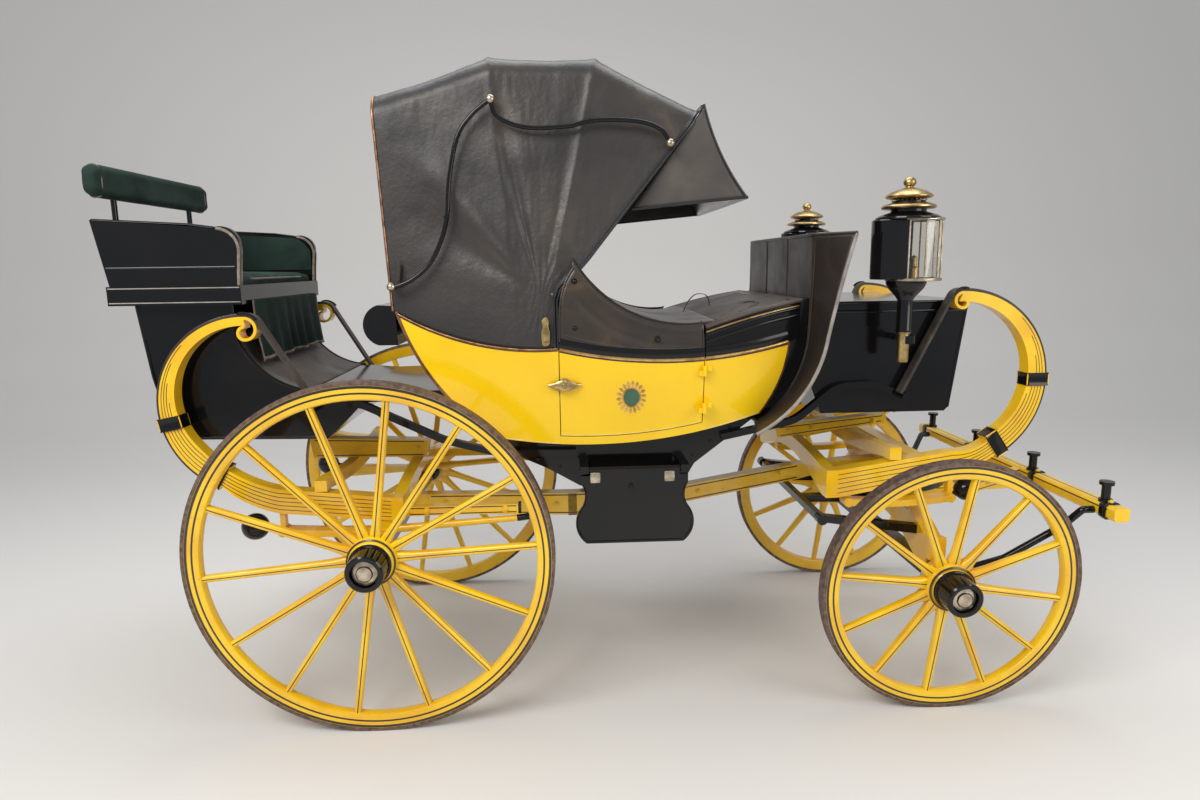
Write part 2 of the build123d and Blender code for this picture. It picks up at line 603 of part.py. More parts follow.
front_end = FRONT_C["end_x"]
x0, x1 = front_end - TRANSOM_THICK, front_end
first = transom(x0, x1, (FRONT_C["end_low"], FRONT_C["end_top"]), (822.0, board_low(FRONT_BOARD, x0)))
x0, x1 = FRONT_SECOND_TRANSOM_X, FRONT_SECOND_TRANSOM_X + TRANSOM_THICK
rest = max(pack_top(FRONT_C, x0), pack_top(FRONT_C, x1)) + SEAT_FIT
second = transom(x0, x1, (rest, rest + 46.0), (850.0, board_low(FRONT_BOARD, x0)))
bolster_half = SPRING_Y - SPRING_WIDTH / 2
bolster = along(cross_face((-PLATE_R, plate_top), (PLATE_R, plate_top), (bolster_half, 806.0),
                           (bolster_half, BOLSTER_TOP), (-bolster_half, BOLSTER_TOP), (-bolster_half, 806.0)),
                *bolster_x)
nodes["front_transoms"] = [first, second, top_board(FRONT_BOARD), bolster]


def plate_ring(z0):
    ring_face = Cylinder(PLATE_R, PLATE_THICK) - Cylinder(PLATE_R - PLATE_RING, PLATE_THICK)
    reach = 2 * PLATE_R - PLATE_RING
    bars = Box(reach, BED_THICK, PLATE_THICK) + Box(BED_THICK, reach, PLATE_THICK)
    return Pos(PIVOT_X, 0, z0 + PLATE_THICK / 2) * (ring_face + bars)


upper_z = PLATE_LOW + PLATE_THICK + PLATE_GAP
king_pin = rod((PIVOT_X, 0, PLATE_LOW - KING_PIN_DROP), (PIVOT_X, 0, upper_z + PLATE_THICK / 2), KING_PIN_R)
nodes["upper_plate"] = [plate_ring(upper_z) + king_pin]


# Fore carriage, which turns on the king pin.
def bored(shape):
    return shape - rod((PIVOT_X, 0, 300), (PIVOT_X, 0, upper_z), KING_PIN_R + KING_PIN_GAP)


axle_top = axle_height(FRONT_WHEEL) + AXLE_SIDE / 2
nodes["lower_plate"] = [bored(plate_ring(PLATE_LOW))]
collar = FRONT_WHEEL["track"] / 2 - HUB_BACK - SHOULDER_THICK
half_length = BED_HALF_LENGTH
bed_low = axle_height(FRONT_WHEEL) + SHOULDER_R + BED_COLLAR_GAP
bed_right = [(430, axle_top), (collar - 8, axle_top), (collar - 8, bed_low), (half_length, bed_low),
             (half_length, 606), (500, 600)]
bed_left = [(-y, z) for y, z in reversed(bed_right)]
bed_face = cross_face(*bed_left[1:], ((-330, 542), (0, 588)), ((330, 542), bed_right[0]), *bed_right[1:],
                      ((390, 654), (PLATE_R, PLATE_LOW)), (-PLATE_R, PLATE_LOW), ((-390, 654), bed_left[0]))
bed_back, bed_front = PIVOT_X - BED_THICK / 2, PIVOT_X + BED_THICK / 2
nodes["axle_bed"] = [bored(along(bed_face, bed_back, bed_front))]

splinter_back = SPLINTER["x"] - SPLINTER["wide"] / 2
splinter_low = SPLINTER["z"] - SPLINTER["deep"] / 2
splinter_top = SPLINTER["z"] + SPLINTER["deep"] / 2
futchell_side = (-FUTCHELL_Y - FUTCHELL_HALF, -FUTCHELL_Y + FUTCHELL_HALF)
rise_x = PIVOT_X + PLATE_R + 25
futchell = across(side_face((bed_front, 628), (rise_x, 645), (splinter_back, splinter_low + 3),
                            (splinter_back, splinter_top - 3), (rise_x, PLATE_LOW), (bed_front, PLATE_LOW)),
                  *futchell_side)
nodes["futchells"] = both_sides(futchell)
(bar_back, bar_front), bar_low, bar_top = SWAY_BAR["x"], SWAY_BAR["low"], SWAY_BAR["top"]
sway = block(bar_back, bar_front, -SWAY_BAR["half"], SWAY_BAR["half"], bar_low, bar_top)
inner_arm = across(side_face((bar_front, bar_low), (bed_back, 628), (bed_back, 668), (bar_front, bar_top)),
                   *futchell_side)
outer_arm = across(side_face((bar_front, bar_low), (bed_back, 585), (bed_back, 618), (bar_front, bar_top)),
                   -SWAY_BAR["half"], -SWAY_BAR["half"] + SWAY_BAR["arm"])
outer_arm += cross_rod((bar_back + bar_front) / 2, (bar_low + bar_top) / 2, SWAY_BAR["eye_r"],
                       -SWAY_BAR["half"] - 8, -SWAY_BAR["half"] + SWAY_BAR["arm"])
nodes["sway_frame"] = [sway + both_sides(inner_arm) + both_sides(outer_arm)]

splinter = block(splinter_back, SPLINTER["x"] + SPLINTER["wide"] / 2, -SPLINTER["half"], SPLINTER["half"],
                 splinter_low, splinter_top)
nodes["splinter_bar"] = [chamfer(splinter.edges().filter_by(Axis.Y), 8)]
socket_x0, socket_x1 = POLE_SOCKET["x"]
socket_half, slot = POLE_SOCKET["half"], POLE_SOCKET["slot"] / 2
socket_low = splinter_low - 2 * POLE_SOCKET["wall"] - 2 * slot
slot_z = (socket_low + POLE_SOCKET["wall"], splinter_low - POLE_SOCKET["wall"])
socket = block(socket_x0, socket_x1, -socket_half, socket_half, socket_low, splinter_low)
futchell_gap = FUTCHELL_Y - FUTCHELL_HALF
socket += block(socket_x0 + 20, socket_x0 + 50, -futchell_gap, futchell_gap, slot_z[1] - 24, slot_z[1])
socket -= block(socket_x0 + 20, socket_x1, -slot, slot, *slot_z)
socket -= rod((POLE_SOCKET["pin_x"], 0, socket_low - 5), (POLE_SOCKET["pin_x"], 0, splinter_low + 5),
              POLE_SOCKET["pin_r"])
nodes["pole_socket"] = [socket]
irons = []
for y in ROLLER_Y:
    x = SPLINTER["x"]
    roller = rod((x, -y, splinter_top), (x, -y, ROLLER_TOP), ROLLER_R)
    roller += rod((x, -y, ROLLER_TOP - 12), (x, -y, ROLLER_TOP), ROLLER_R + 9)
    roller += rod((x, -y, splinter_top), (x, -y, splinter_top + 10), ROLLER_R + 7)
    irons += both_sides(roller)
axle_front = PIVOT_X + AXLE_SIDE / 2
iron_y = WHEEL_IRON_INSET + HUB_BACK - FRONT_WHEEL["track"] / 2
iron_low = axle_height(FRONT_WHEEL)
iron_high = SPLINTER["z"] - 11
wheel_iron = round_bar([(axle_front, iron_y, iron_low), (axle_front + 95, iron_y, iron_low),
                        (axle_front + 228, iron_y - 30, iron_low + 52),
                        (splinter_back - 83, iron_y - 75, iron_high - 67),
                        (splinter_back - 38, iron_y - 105, iron_high), (splinter_back, iron_y - 105, iron_high)],
                       [60, 60, 60, 14], WHEEL_IRON_R)
nodes["splinter_irons"] = irons + both_sides(wheel_iron)


# Body. Each side is part of a barrel about an upright axis far on the other side of the carriage.
BARREL_AXIS_Y = SIDE_PLAN_R - SIDE_CURVE[1][0]


def side_barrel(inset, side):
    (w0, z0), (w1, z1), (w2, z2) = SIDE_CURVE
    axis_y, x = BARREL_AXIS_Y, SIDE_MIDDLE_X
    face = Face(Wire([
        Line((x, axis_y, z0), (x, inset - w0, z0)),
        ThreePointArc((x, inset - w0, z0), (x, inset - w1, z1), (x, inset - w2, z2)),
        Line((x, inset - w2, z2), (x, axis_y, z2)),
        Line((x, axis_y, z2), (x, axis_y, z0)),
    ]))
    axis = Axis((x, axis_y, 0), (0, 0, 1))
    wedge = revolve(face.rotate(axis, -20), axis=axis, revolution_arc=40)
    return wedge if side < 0 else mirror(wedge, about=Plane.XZ)


def between_sides(inset):
    return side_barrel(inset, -1) & side_barrel(inset, 1)


def side_half_width(x, w):
    """The body's half width at x, where it is w at the middle of its length."""
    return math.sqrt((w + BARREL_AXIS_Y) ** 2 - (x - SIDE_MIDDLE_X) ** 2) - BARREL_AXIS_Y


def hull_side(inset):
    """The body's side view, round its rear, sill and front, drawn up past the belt."""
    (rear, rear_z), rear_bend, (sill_x, sill_z), sill_bend, (toe_x, toe_z), toe_bend, (front, front_z) = HULL
    lean = inset * 0.7
    return side_face((rear + inset, HULL_TOP), (rear + inset, rear_z),
                     ((rear_bend[0] + lean, rear_bend[1] + lean), (sill_x + lean * 0.5, sill_z + inset)),
                     ((sill_bend[0], sill_bend[1] + inset), (toe_x - lean * 0.5, toe_z + inset)),
                     ((toe_bend[0] - inset, toe_bend[1]), (front - inset, front_z)), (front - inset, HULL_TOP))


def belt_face(up):
    p = BELT
    far = HULL_TOP + 60 if up else 900.0
    return side_face(p[0], (p[1], p[2]), (p[3], p[4]), (p[4][0], far), (p[0][0], far))


above_belt = across(belt_face(True), -700, 700)
below_belt = across(belt_face(False), -700, 700)


def door_prism(gap):
    (sill_x, sill_z), sill_bend, (toe_x, toe_z) = HULL[2:5]
    rise = DOOR_RISE + gap
    low = side_face((sill_x, HULL_TOP), (sill_x, sill_z + rise),
                    ((sill_bend[0], sill_bend[1] + rise), (toe_x, toe_z + rise)), (toe_x, HULL_TOP))
    return across(low, -700, -300) & block(DOOR_X[0] + gap, DOOR_X[1] - gap, -700, -300, 900, HULL_TOP)


hull_outer = across(hull_side(0), -700, 700) & between_sides(0)
hull_inner = across(hull_side(BODY_WALL), -700, 700) & between_sides(BODY_WALL)
shell = hull_outer - hull_inner - above_belt
door = shell & door_prism(DOOR_GAP)
for opening in both_sides(door_prism(0)):
    shell -= opening
hatch_y = (WELL_HALF - HATCH_LIP, HATCH_LIP - WELL_HALF)
shell -= block(HATCH_X[0], HATCH_X[1], hatch_y[1], hatch_y[0], 900, 1120)

# Hinges: on each side two, with the body's knuckles and pins above the door's knuckles
hinge_y = -side_half_width(DOOR_X[1], SIDE_CURVE[1][0] + 5) - HINGE_R - 0.5
hinge_x = DOOR_X[1] - DOOR_GAP / 2
door_parts = []
body_parts = []
for z in HINGE_Z:
    z_mid = z + HINGE_KNUCKLE
    z_body = z_mid + DOOR_HINGE_GAP
    z_top = z_body + HINGE_KNUCKLE
    lug = block(DOOR_X[1] - HINGE_LUG, DOOR_X[1] - DOOR_GAP, hinge_y, -440, z, z_mid) - hull_inner
    knuckle = lug + rod((hinge_x, hinge_y, z), (hinge_x, hinge_y, z_mid), HINGE_R)
    door_parts.append(knuckle - rod((hinge_x, hinge_y, z - 1), (hinge_x, hinge_y, z_mid + 1),
                                    HINGE_PIN_R + HINGE_PIN_GAP))
    lug = block(DOOR_X[1], DOOR_X[1] + HINGE_LUG, hinge_y, -440, z_body, z_top) - hull_inner
    knuckle = lug + rod((hinge_x, hinge_y, z_body), (hinge_x, hinge_y, z_top), HINGE_R)
    body_parts += both_sides(knuckle + rod((hinge_x, hinge_y, z), (hinge_x, hinge_y, z_body), HINGE_PIN_R))
nodes["body_shell"] = [shell + body_parts]
door = door + door_parts

well = across(side_face((WELL[0][0], 1150), *WELL, (WELL[-1][0], 1150)), -WELL_HALF, WELL_HALF) - hull_outer
well -= block(HATCH_X[0] + 10, WELL[5][0] - WELL_WALL, -WELL_HALF + WELL_WALL, WELL_HALF - WELL_WALL,
              WELL[4][1] + WELL_WALL, 870)
well -= block(HATCH_X[0] + 10, HATCH_X[1] - 10, hatch_y[1], hatch_y[0], 860, 1120)
nodes["body_well"] = [well]

# Body loops: irons that run out from under the body to the braces' pins.
loop_y = WELL_HALF + LOOP_WIDTH / 2


def body_loop(points, bends, eye):
    path = FilletPolyline(*[(x, -loop_y, z) for x, z in points], radius=bends)
    bar = flat_bar(path, LOOP_WIDTH, LOOP_THICK)
    bar += cross_rod(eye[0], eye[1], LOOP_EYE_R, -loop_y - LOOP_WIDTH / 2, -loop_y + LOOP_WIDTH / 2)
    strap_side = -SPRING_Y + STRAP_WIDTH / 2 + STRAP_SIDE_GAP
    bar -= cross_rod(eye[0], eye[1], LOOP_EYE_R + STRAP_THICK + 18, -SPRING_Y - STRAP_WIDTH, strap_side)
    return bar + cross_rod(eye[0], eye[1], LOOP_PIN_R, -SPRING_Y - STRAP_WIDTH / 2 - 6, -WELL_HALF)


rear_loop = body_loop([REAR_LOOP_EYE] + REAR_LOOP, [120, 260, 200], REAR_LOOP_EYE)
front_loop = body_loop([FRONT_LOOP_EYE] + FRONT_LOOP, [70, 110, 140], FRONT_LOOP_EYE)
nodes["body_loops"] = both_sides(rear_loop - hull_outer) + both_sides(front_loop - hull_outer)

# Doors, and the leather flap that stands on each under the apron's edge.
(ax0, az0), (ax1, az1), (ax2, az2) = APRON_CREASE
flap_x = (DOOR_X[0] + 2 * DOOR_GAP, DOOR_X[1] - 2 * DOOR_GAP)
flap_face = side_face((flap_x[0], 1200), (flap_x[0], az0 - 70), (ax0, az0), ((ax1, az1), (flap_x[1], az2)),
                      (flap_x[1], 1200))
flap = (across(flap_face, -700, 0) & side_barrel(0, -1)) - side_barrel(APRON_THICK, -1) - below_belt

# Step flaps hang on a rod under the body.
step_x0, step_x1 = STEP_X
step_low, step_top = STEP_Z
notch = STEP_BRACKET_WIDE + 8
step_outline = side_face(
    (step_x0 + 8, step_top - 18), (step_x0 + 8, 830), ((step_x0 + 20, 790), (step_x0 + 6, 745)),
    ((step_x0 - 14, 690), (step_x0 + 24, step_low)), (step_x1 - 24, step_low),
    ((step_x1 + 14, 690), (step_x1 - 6, 745)), ((step_x1 - 20, 790), (step_x1 - 8, 830)),
    (step_x1 - 8, step_top - 18), (step_x1 - notch, step_top - 18), (step_x1 - notch, step_top),
    (step_x0 + notch, step_top), (step_x0 + notch, step_top - 18))
step = across(step_outline, -STEP_Y - STEP_THICK / 2, -STEP_Y + STEP_THICK / 2)
step_axis_z = step_top + 4
step += rod((step_x0 + notch, -STEP_Y, step_axis_z), (step_x1 - notch, -STEP_Y, step_axis_z), STEP_ROD_R)
step += rod((step_x0, -STEP_Y, step_axis_z), (step_x1, -STEP_Y, step_axis_z), STEP_PIN_R)
brackets = []
for x in (step_x0 + 4, step_x1 - 4 - STEP_BRACKET_WIDE):
    arm = block(x, x + STEP_BRACKET_WIDE, -STEP_Y - 13, -WELL_HALF, step_axis_z - 13, step_axis_z + 13)
    arm -= rod((x - 1, -STEP_Y, step_axis_z), (x + STEP_BRACKET_WIDE + 1, -STEP_Y, step_axis_z),
               STEP_PIN_R + HINGE_PIN_GAP)
    brackets += both_sides(arm)
nodes["step_brackets"] = brackets
for index, side_name in enumerate(("right", "left")):
    nodes[f"door_{side_name}"] = [both_sides(door)[index]]
    nodes[f"door_flap_{side_name}"] = [both_sides(flap)[index]]
    nodes[f"step_flap_{side_name}"] = [both_sides(step)[index]]

# Seat inside the body, with the leather back that stands in the hood
seat = across(side_face((120, 900), (120, 1340), (624, 1345), (640, 1312), (628, 1250), (600, 1200), (600, 900)),
              -SEAT_BACK_HALF, SEAT_BACK_HALF) & hull_inner
seat_back = across(side_face((150, 1342), (118, 1470), (104, 1820), (170, 1830), (210, 1700), (260, 1342)),
                   -SEAT_BACK_HALF, SEAT_BACK_HALF) - nodes["body_shell"][0]
nodes["inner_seat"] = [seat + seat_back]

# Deck, apron, dash and wings
sheet_back = [(DASH_X, DASH_TOP), (DASH_X + 1, 1500), (DASH_X - 4, 1340), (1475, 1158), (1345, 1028)]
sheet_edge = [(DASH_X + 93, DASH_TOP), (DASH_X + 44, 1500), (DASH_X + 9, 1340), (1465, 1148), (1310, 1018)]


def wing_face(points, y):
    (x0, z0), (x1, z1), (x2, z2), (x3, z3), (x4, z4) = points
    t = DASH_THICK
    face = side_face((x0, z0), ((x1, z1), (x2, z2)), ((x3, z3), (x4, z4)), (x4 + t * 0.7, z4 - t * 0.7),
                     ((x3 + t * 0.9, z3 - t * 0.4), (x2 + t, z2)), ((x1 + t, z1), (x0 + t, z0)))
    return face.moved(Location((0, y, 0)))


wing = loft([wing_face(sheet_back, -DASH_HALF), wing_face(sheet_edge, -WING_HALF)], ruled=True)
dash = across(wing_face(sheet_back, 0), -DASH_HALF, DASH_HALF)
nodes["dash"] = [dash + both_sides(wing)]
deck = across(side_face((DECK_TOP[0][0], 1200), DECK_TOP[0], (DECK_TOP[1], DECK_TOP[2]), (1500, 1200)), -700, 700)
deck = (deck & between_sides(DECK_INSET)) - below_belt
deck_end = DECK_TOP[2]
before_sheet = across(side_face(sheet_back[0], (sheet_back[1], sheet_back[2]), (sheet_back[3], sheet_back[4]),
                                (1300, 900), (1800, 900), (1800, DASH_TOP)), -700, 700)
toe = across(side_face((HULL[4][0] - 60, 1000), (HULL[4][0] - 60, deck_end[1]), (1500, deck_end[1]),
                       (DASH_X + 20, deck_end[1] + 6), (DASH_X + 20, 1000)), -TOE_HALF, TOE_HALF)
toe = (toe - before_sheet - hull_outer - across(hull_side(-0.2), -700, 700)) & across(
    side_face((1380, 1080), (1300, 1600), (1700, 1600), (1700, 1080)), -700, 700)
nodes["front_deck"] = [deck, toe]
(ax0, az0), (ax1, az1), (ax2, az2) = APRON_CURVE
thin = APRON_THICK
apron = across(side_face((ax0, az0), ((ax1, az1), (ax2, az2)), (ax2, az2 - thin),
                         ((ax1 - thin * 0.6, az1 - thin * 0.8), (ax0 - thin * 0.8, az0 - thin * 0.6))),
               -APRON_HALF, APRON_HALF)
under_deck = across(side_face((DECK_TOP[0][0] - SEAT_FIT, 1200), (DECK_TOP[0][0] - SEAT_FIT, DECK_TOP[0][1] + SEAT_FIT),
                              ((DECK_TOP[1][0], DECK_TOP[1][1] + SEAT_FIT), (1500, DECK_TOP[2][1] + SEAT_FIT)),
                              (1500, 1200)), -700, 700)
nodes["knee_apron"] = [apron - under_deck]

# Front boot
(bx0, bx1), (fx0, fx1), (bz0, bz1) = FRONT_BOOT["x"], FRONT_BOOT["foot_x"], FRONT_BOOT["z"]
front_boot = across(side_face((bx0, bz1), (bx1, bz1), (bx1 - 4, bz1 - 40), (fx1, bz0 + 14), (fx1 - 14, bz0),
                              (fx0, bz0), (bx0 - 1, bz0 + 130)), -FRONT_BOOT["half"], FRONT_BOOT["half"])
before_dash = across(side_face((DASH_X + DASH_THICK + 1, DASH_TOP), (DASH_X + DASH_THICK + 1, 900), (2300, 900),
                               (2300, DASH_TOP)), -700, 700)
nodes["front_boot"] = [front_boot & before_dash]

# Rear boot and rumble seat
boot = across(side_face((-816, 1480), (-787, 1253), ((-745, 1110), (-670, 1004)), (-194, 992),
                        ((-120, 1060), (-60, 1122)), (320, 1122), (320, 1162), (-86, 1154), (-233, 1166),
                        ((-400, 1236), (-490, 1373)), (-490, 1480)), -REAR_BOOT_HALF, REAR_BOOT_HALF)
nodes["rear_boot"] = [boot - hull_outer]
side_panel = across(side_face((-917, 1768), (-875, 1538), (-871, 1480), (-447, 1480), (-443, 1560), (-433, 1663),
                              ((-445, 1722), (-515, 1739))), -SEAT_HALF, -SEAT_HALF + SEAT_SIDE_THICK)
seat_inner = SEAT_HALF - SEAT_SIDE_THICK
back_panel = across(side_face((-917, 1768), (-875, 1538), (-871, 1480), (-850, 1480), (-853, 1538), (-895, 1764)),
                    -seat_inner, seat_inner)
base = block(-871, -450, -seat_inner, seat_inner, 1480, 1500)
plinth_half = SEAT_HALF + SEAT_PLINTH
base += block(-884, -437, -plinth_half, plinth_half, 1480, 1545) - block(-860, -447, -SEAT_HALF, SEAT_HALF, 1470, 1560)
post_x, head_low = HEADREST["x"], HEADREST["z"][0]
posts = both_sides(rod((post_x, -HEADREST["post_y"], 1740), (post_x, -HEADREST["post_y"], head_low - SEAT_FIT), 9))
nodes["rumble_seat"] = [base + both_sides(side_panel) + back_panel + posts]
nodes["rumble_cushion"] = [block(-846, -452, -seat_inner + 2, seat_inner - 2, 1500 + SEAT_FIT, 1590)]
head = block(post_x - HEADREST["thick"] / 2, post_x + HEADREST["thick"] / 2, -HEADREST["half"], HEADREST["half"],
             *HEADREST["z"])
head = fillet(head.edges().filter_by(Axis.X), HEADREST["end_round"])
nodes["headrest"] = [fillet(head.edges().group_by(Axis.X)[0] + head.edges().group_by(Axis.X)[-1], HEADREST["round"])]


# Hood: the leather runs straight from bow to bow.
def bow_face(bow, inset, shift):
    drop = 30 if inset else 0
    foot = Vector(bow["foot"][0] + shift, 0, bow["foot"][1] - drop)
    top = Vector(bow["top"][0] + shift, 0, bow["top"][1] - inset)
    rise = (top - foot).normalized()
    length = (top - foot).length
    plane = Plane(origin=foot, x_dir=(0, 1, 0), z_dir=Vector(0, 1, 0).cross(rise))
    low, high = bow["half_foot"] - inset, bow["half_top"] - inset
    corner = BOW_CORNER - inset
    bend = corner * (1 - math.sqrt(0.5))

    def at(v, u):
        return plane.from_local_coords((v, u, 0))

    edges = [
        Line(at(-low, 0), at(-high, length - corner)),
        ThreePointArc(at(-high, length - corner), at(-high + bend, length - bend), at(-high + corner, length)),
        ThreePointArc(at(-high + corner, length), at(0, length + BOW_CROWN), at(high - corner, length)),
        ThreePointArc(at(high - corner, length), at(high - bend, length - bend), at(high, length - corner)),
        Line(at(high, length - corner), at(low, 0)),
        Line(at(low, 0), at(-low, 0)),
    ]
    return Face(Wire(edges))


hood_outer = loft([bow_face(bow, 0, 0) for bow in BOWS], ruled=True)
shifts = [HOOD_WALL, 0, 0, 30]
hood_inner = loft([bow_face(bow, HOOD_WALL, shift) for bow, shift in zip(BOWS, shifts)], ruled=True)
front_cut = across(side_face(*HOOD_FRONT, (1500, 1250), (1500, 2400), (HOOD_FRONT[0][0], 2400)), -700, 700)
nodes["hood"] = [hood_outer - hood_inner - front_cut - below_belt]
(tx, tz), (vx, vz) = VISOR_TIP, VISOR_BACK
(top_x, top_z), (edge_x, edge_z) = HOOD_FRONT[0], HOOD_FRONT[1]
visor = across(side_face((top_x, top_z + 14), ((1204, 1990), (tx, tz)), (vx, vz), (top_x - 20, top_z - 40)),
               -VISOR_HALF, VISOR_HALF)
visor_in = across(side_face((top_x - 40, top_z + 4), (top_x - 8, top_z + 4), ((1192, 1984), (tx - 12, tz - 2)),
                            (tx - 12, tz - 90), (vx - 90, vz - 60), (vx - 90, vz)),
                  -VISOR_HALF + VISOR_WALL, VISOR_HALF - VISOR_WALL)
lean = math.atan2(top_z - edge_z, top_x - edge_x)
shift_x = SEAT_FIT / math.sin(lean)
behind = across(side_face((top_x + shift_x, 2400), (top_x + shift_x, top_z), (edge_x + shift_x, edge_z),
                          (300, edge_z), (300, 2400)), -700, 700)
nodes["visor"] = [visor - visor_in - behind]

rear_iron = round_bar([(x, -IRON_Y, z) for x, z in REAR_IRON], [30, 60, 60, 50], IRON_R)
front_iron = round_bar([(x, -IRON_Y, z) for x, z in FRONT_IRON], [30, 60, 60, 40], IRON_R)
irons = rear_iron + front_iron
for x, z in (REAR_IRON[0], REAR_IRON[-1], FRONT_IRON[-1]):
    irons += rod((x, -IRON_Y - 14, z), (x, -IRON_Y + 12, z), IRON_KNOB_R)
    irons += rod((x, -IRON_Y, z), (x, -430, z), IRON_R)
for x, z in (REAR_IRON[2], FRONT_IRON[3]):
    irons += rod((x, -IRON_Y - IRON_R - 4, z), (x, -IRON_Y + IRON_R + 2, z), IRON_R + 5)
nodes["hood_irons"] = both_sides(irons - hood_outer)

# Sword case behind the body
case = across(side_face((84, 1466), (20, 1470), ((-32, 1400), (20, 1330)), (230, 1330), (230, 1420)),
              -CASE_HALF, CASE_HALF)
nodes["sword_case"] = [case - hull_outer - hood_outer]

# Lamps
lx, ly = LAMP["x"], -LAMP["y"]
z0, z1 = LAMP["body"]


def drum(radius, low, high):
    """The glazed front, with a flat pane between each two of its bars."""
    prism = extrude(RegularPolygon(radius, LAMP_DRUM["sides"]), amount=high - low)
    return Pos(LAMP_DRUM["x"], ly, low) * prism


rim_r, rim = LAMP_DRUM["r"] + LAMP_DRUM["proud"], LAMP_DRUM["rim"]
lamp = drum(LAMP_DRUM["r"], z0, z1) + drum(rim_r, z0, z0 + rim) + drum(rim_r, z1 - rim, z1)
for corner in RegularPolygon(LAMP_DRUM["r"] - 1.5, LAMP_DRUM["sides"]).vertices():
    bar_x, bar_y = LAMP_DRUM["x"] + corner.X, ly + corner.Y
    lamp += rod((bar_x, bar_y, z0 + rim - 1), (bar_x, bar_y, z1 - rim + 1), LAMP_DRUM["proud"])
case = block(*LAMP_CASE["x"], ly - LAMP_CASE["half"], ly + LAMP_CASE["half"], z0, z1)
lamp += fillet(case.edges().filter_by(Axis.Z), 14)
roof = revolve(side_face((0, -3), (104, -3), (106, 6), (88, 16), (60, 24), (60, 32), (86, 38), (88, 44), (70, 52),
                         (56, 58), (56, 66), (74, 72), (76, 78), (52, 92), (22, 102), (14, 106), (20, 114),
                         (21, 123), (16, 134), (0, 140)), axis=Axis.Z)
drop = LAMP["tube"] - z0
neck = revolve(side_face((0, drop), (LAMP_TUBE_R - 6, drop), (LAMP_TUBE_R, drop + 8), (LAMP_TUBE_R, -126),
                         (LAMP_TUBE_R + 3, -126), (LAMP_TUBE_R + 3, -118), (LAMP_TUBE_R + 7, -116),
                         (LAMP_TUBE_R + 7, -40), (50, -12), (66, 3), (0, 3)), axis=Axis.Z)
nodes["lamps"] = both_sides(lamp + Pos(LAMP_ROOF_X, ly, z1) * roof + Pos(lx, ly, z0) * neck)
arm = rod((lx, -FRONT_BOOT["half"] - SEAT_FIT, 1330), (lx, ly, 1330), 12)
arm += rod((lx, ly, 1316), (lx, ly, 1344), LAMP_TUBE_R + LAMP_COLLAR)
nodes["lamp_brackets"] = both_sides(arm - rod((lx, ly, 1300), (lx, ly, 1360), LAMP_TUBE_R + SEAT_FIT))

# The finished parts are set down about the middle of the length.
reach_back = HEADREST["x"] - HEADREST["thick"] / 2
reach_front = SPLINTER["x"] + SPLINTER["wide"] / 2
middle = Location((-(reach_back + reach_front) / 2, 0, 0))

for name, shapes in nodes.items():
    shapes = [shape.moved(middle) for shape in shapes]
    whole = Compound(shapes) if len(shapes) > 1 else shapes[0]
    export_step(whole, f"parts/{name}.step")
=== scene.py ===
import bmesh
import bpy
import contextlib
import math
from mathutils import Matrix, Vector, noise


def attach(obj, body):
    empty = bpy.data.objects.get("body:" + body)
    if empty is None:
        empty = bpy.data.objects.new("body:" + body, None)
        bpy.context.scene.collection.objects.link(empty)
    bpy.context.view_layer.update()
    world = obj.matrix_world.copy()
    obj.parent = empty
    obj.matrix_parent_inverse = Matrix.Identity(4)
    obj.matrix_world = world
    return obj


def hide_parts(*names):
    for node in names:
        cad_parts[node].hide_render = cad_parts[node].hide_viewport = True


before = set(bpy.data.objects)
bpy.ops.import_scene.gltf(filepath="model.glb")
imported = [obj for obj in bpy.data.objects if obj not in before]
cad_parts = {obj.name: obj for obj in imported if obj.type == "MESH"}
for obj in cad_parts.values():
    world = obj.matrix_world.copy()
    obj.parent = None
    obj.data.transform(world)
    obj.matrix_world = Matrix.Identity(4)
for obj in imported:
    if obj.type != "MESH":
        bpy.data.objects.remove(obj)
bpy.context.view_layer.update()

# Camera and studio.
# A person's eye height, a little behind the carriage's middle, looking slightly down.
# The floor and backdrop are one plain pale sweep under broad soft lamps.
MIDDLE = 0.822
yaw, pitch, roll = math.radians(2.79), math.radians(-9.89), math.radians(-0.76)
ahead = Vector((math.sin(yaw) * math.cos(pitch), math.cos(yaw) * math.cos(pitch), math.sin(pitch)))
level = Vector((math.cos(yaw), -math.sin(yaw), 0))
above = level.cross(ahead)
right = level * math.cos(roll) + above * math.sin(roll)
up = above * math.cos(roll) - level * math.sin(roll)
camera = bpy.data.objects.new("camera", bpy.data.cameras.new("camera"))
bpy.context.collection.objects.link(camera)
turn = Matrix((right, up, -ahead)).transposed().to_4x4()
camera.matrix_world = Matrix.Translation((0.6566 - MIDDLE, -3.1591, 1.5964)) @ turn
camera.data.sensor_width = 36.0
camera.data.lens = 23.19
camera.data.clip_end = 200
bpy.context.scene.camera = camera
bpy.context.scene.view_settings.view_transform = "Standard"


def new_material(name):
    """A plain material with its nodes, links and shader at hand."""
    material = bpy.data.materials.new(name)
    material.use_nodes = True
    nodes = material.node_tree.nodes
    return material, nodes, material.node_tree.links, nodes["Principled BSDF"]


def set_inputs(node, **values):
    """Sets a shader node's inputs by name, with underscores for spaces."""
    for name, value in values.items():
        node.inputs[name.replace("_", " ")].default_value = value
    return node


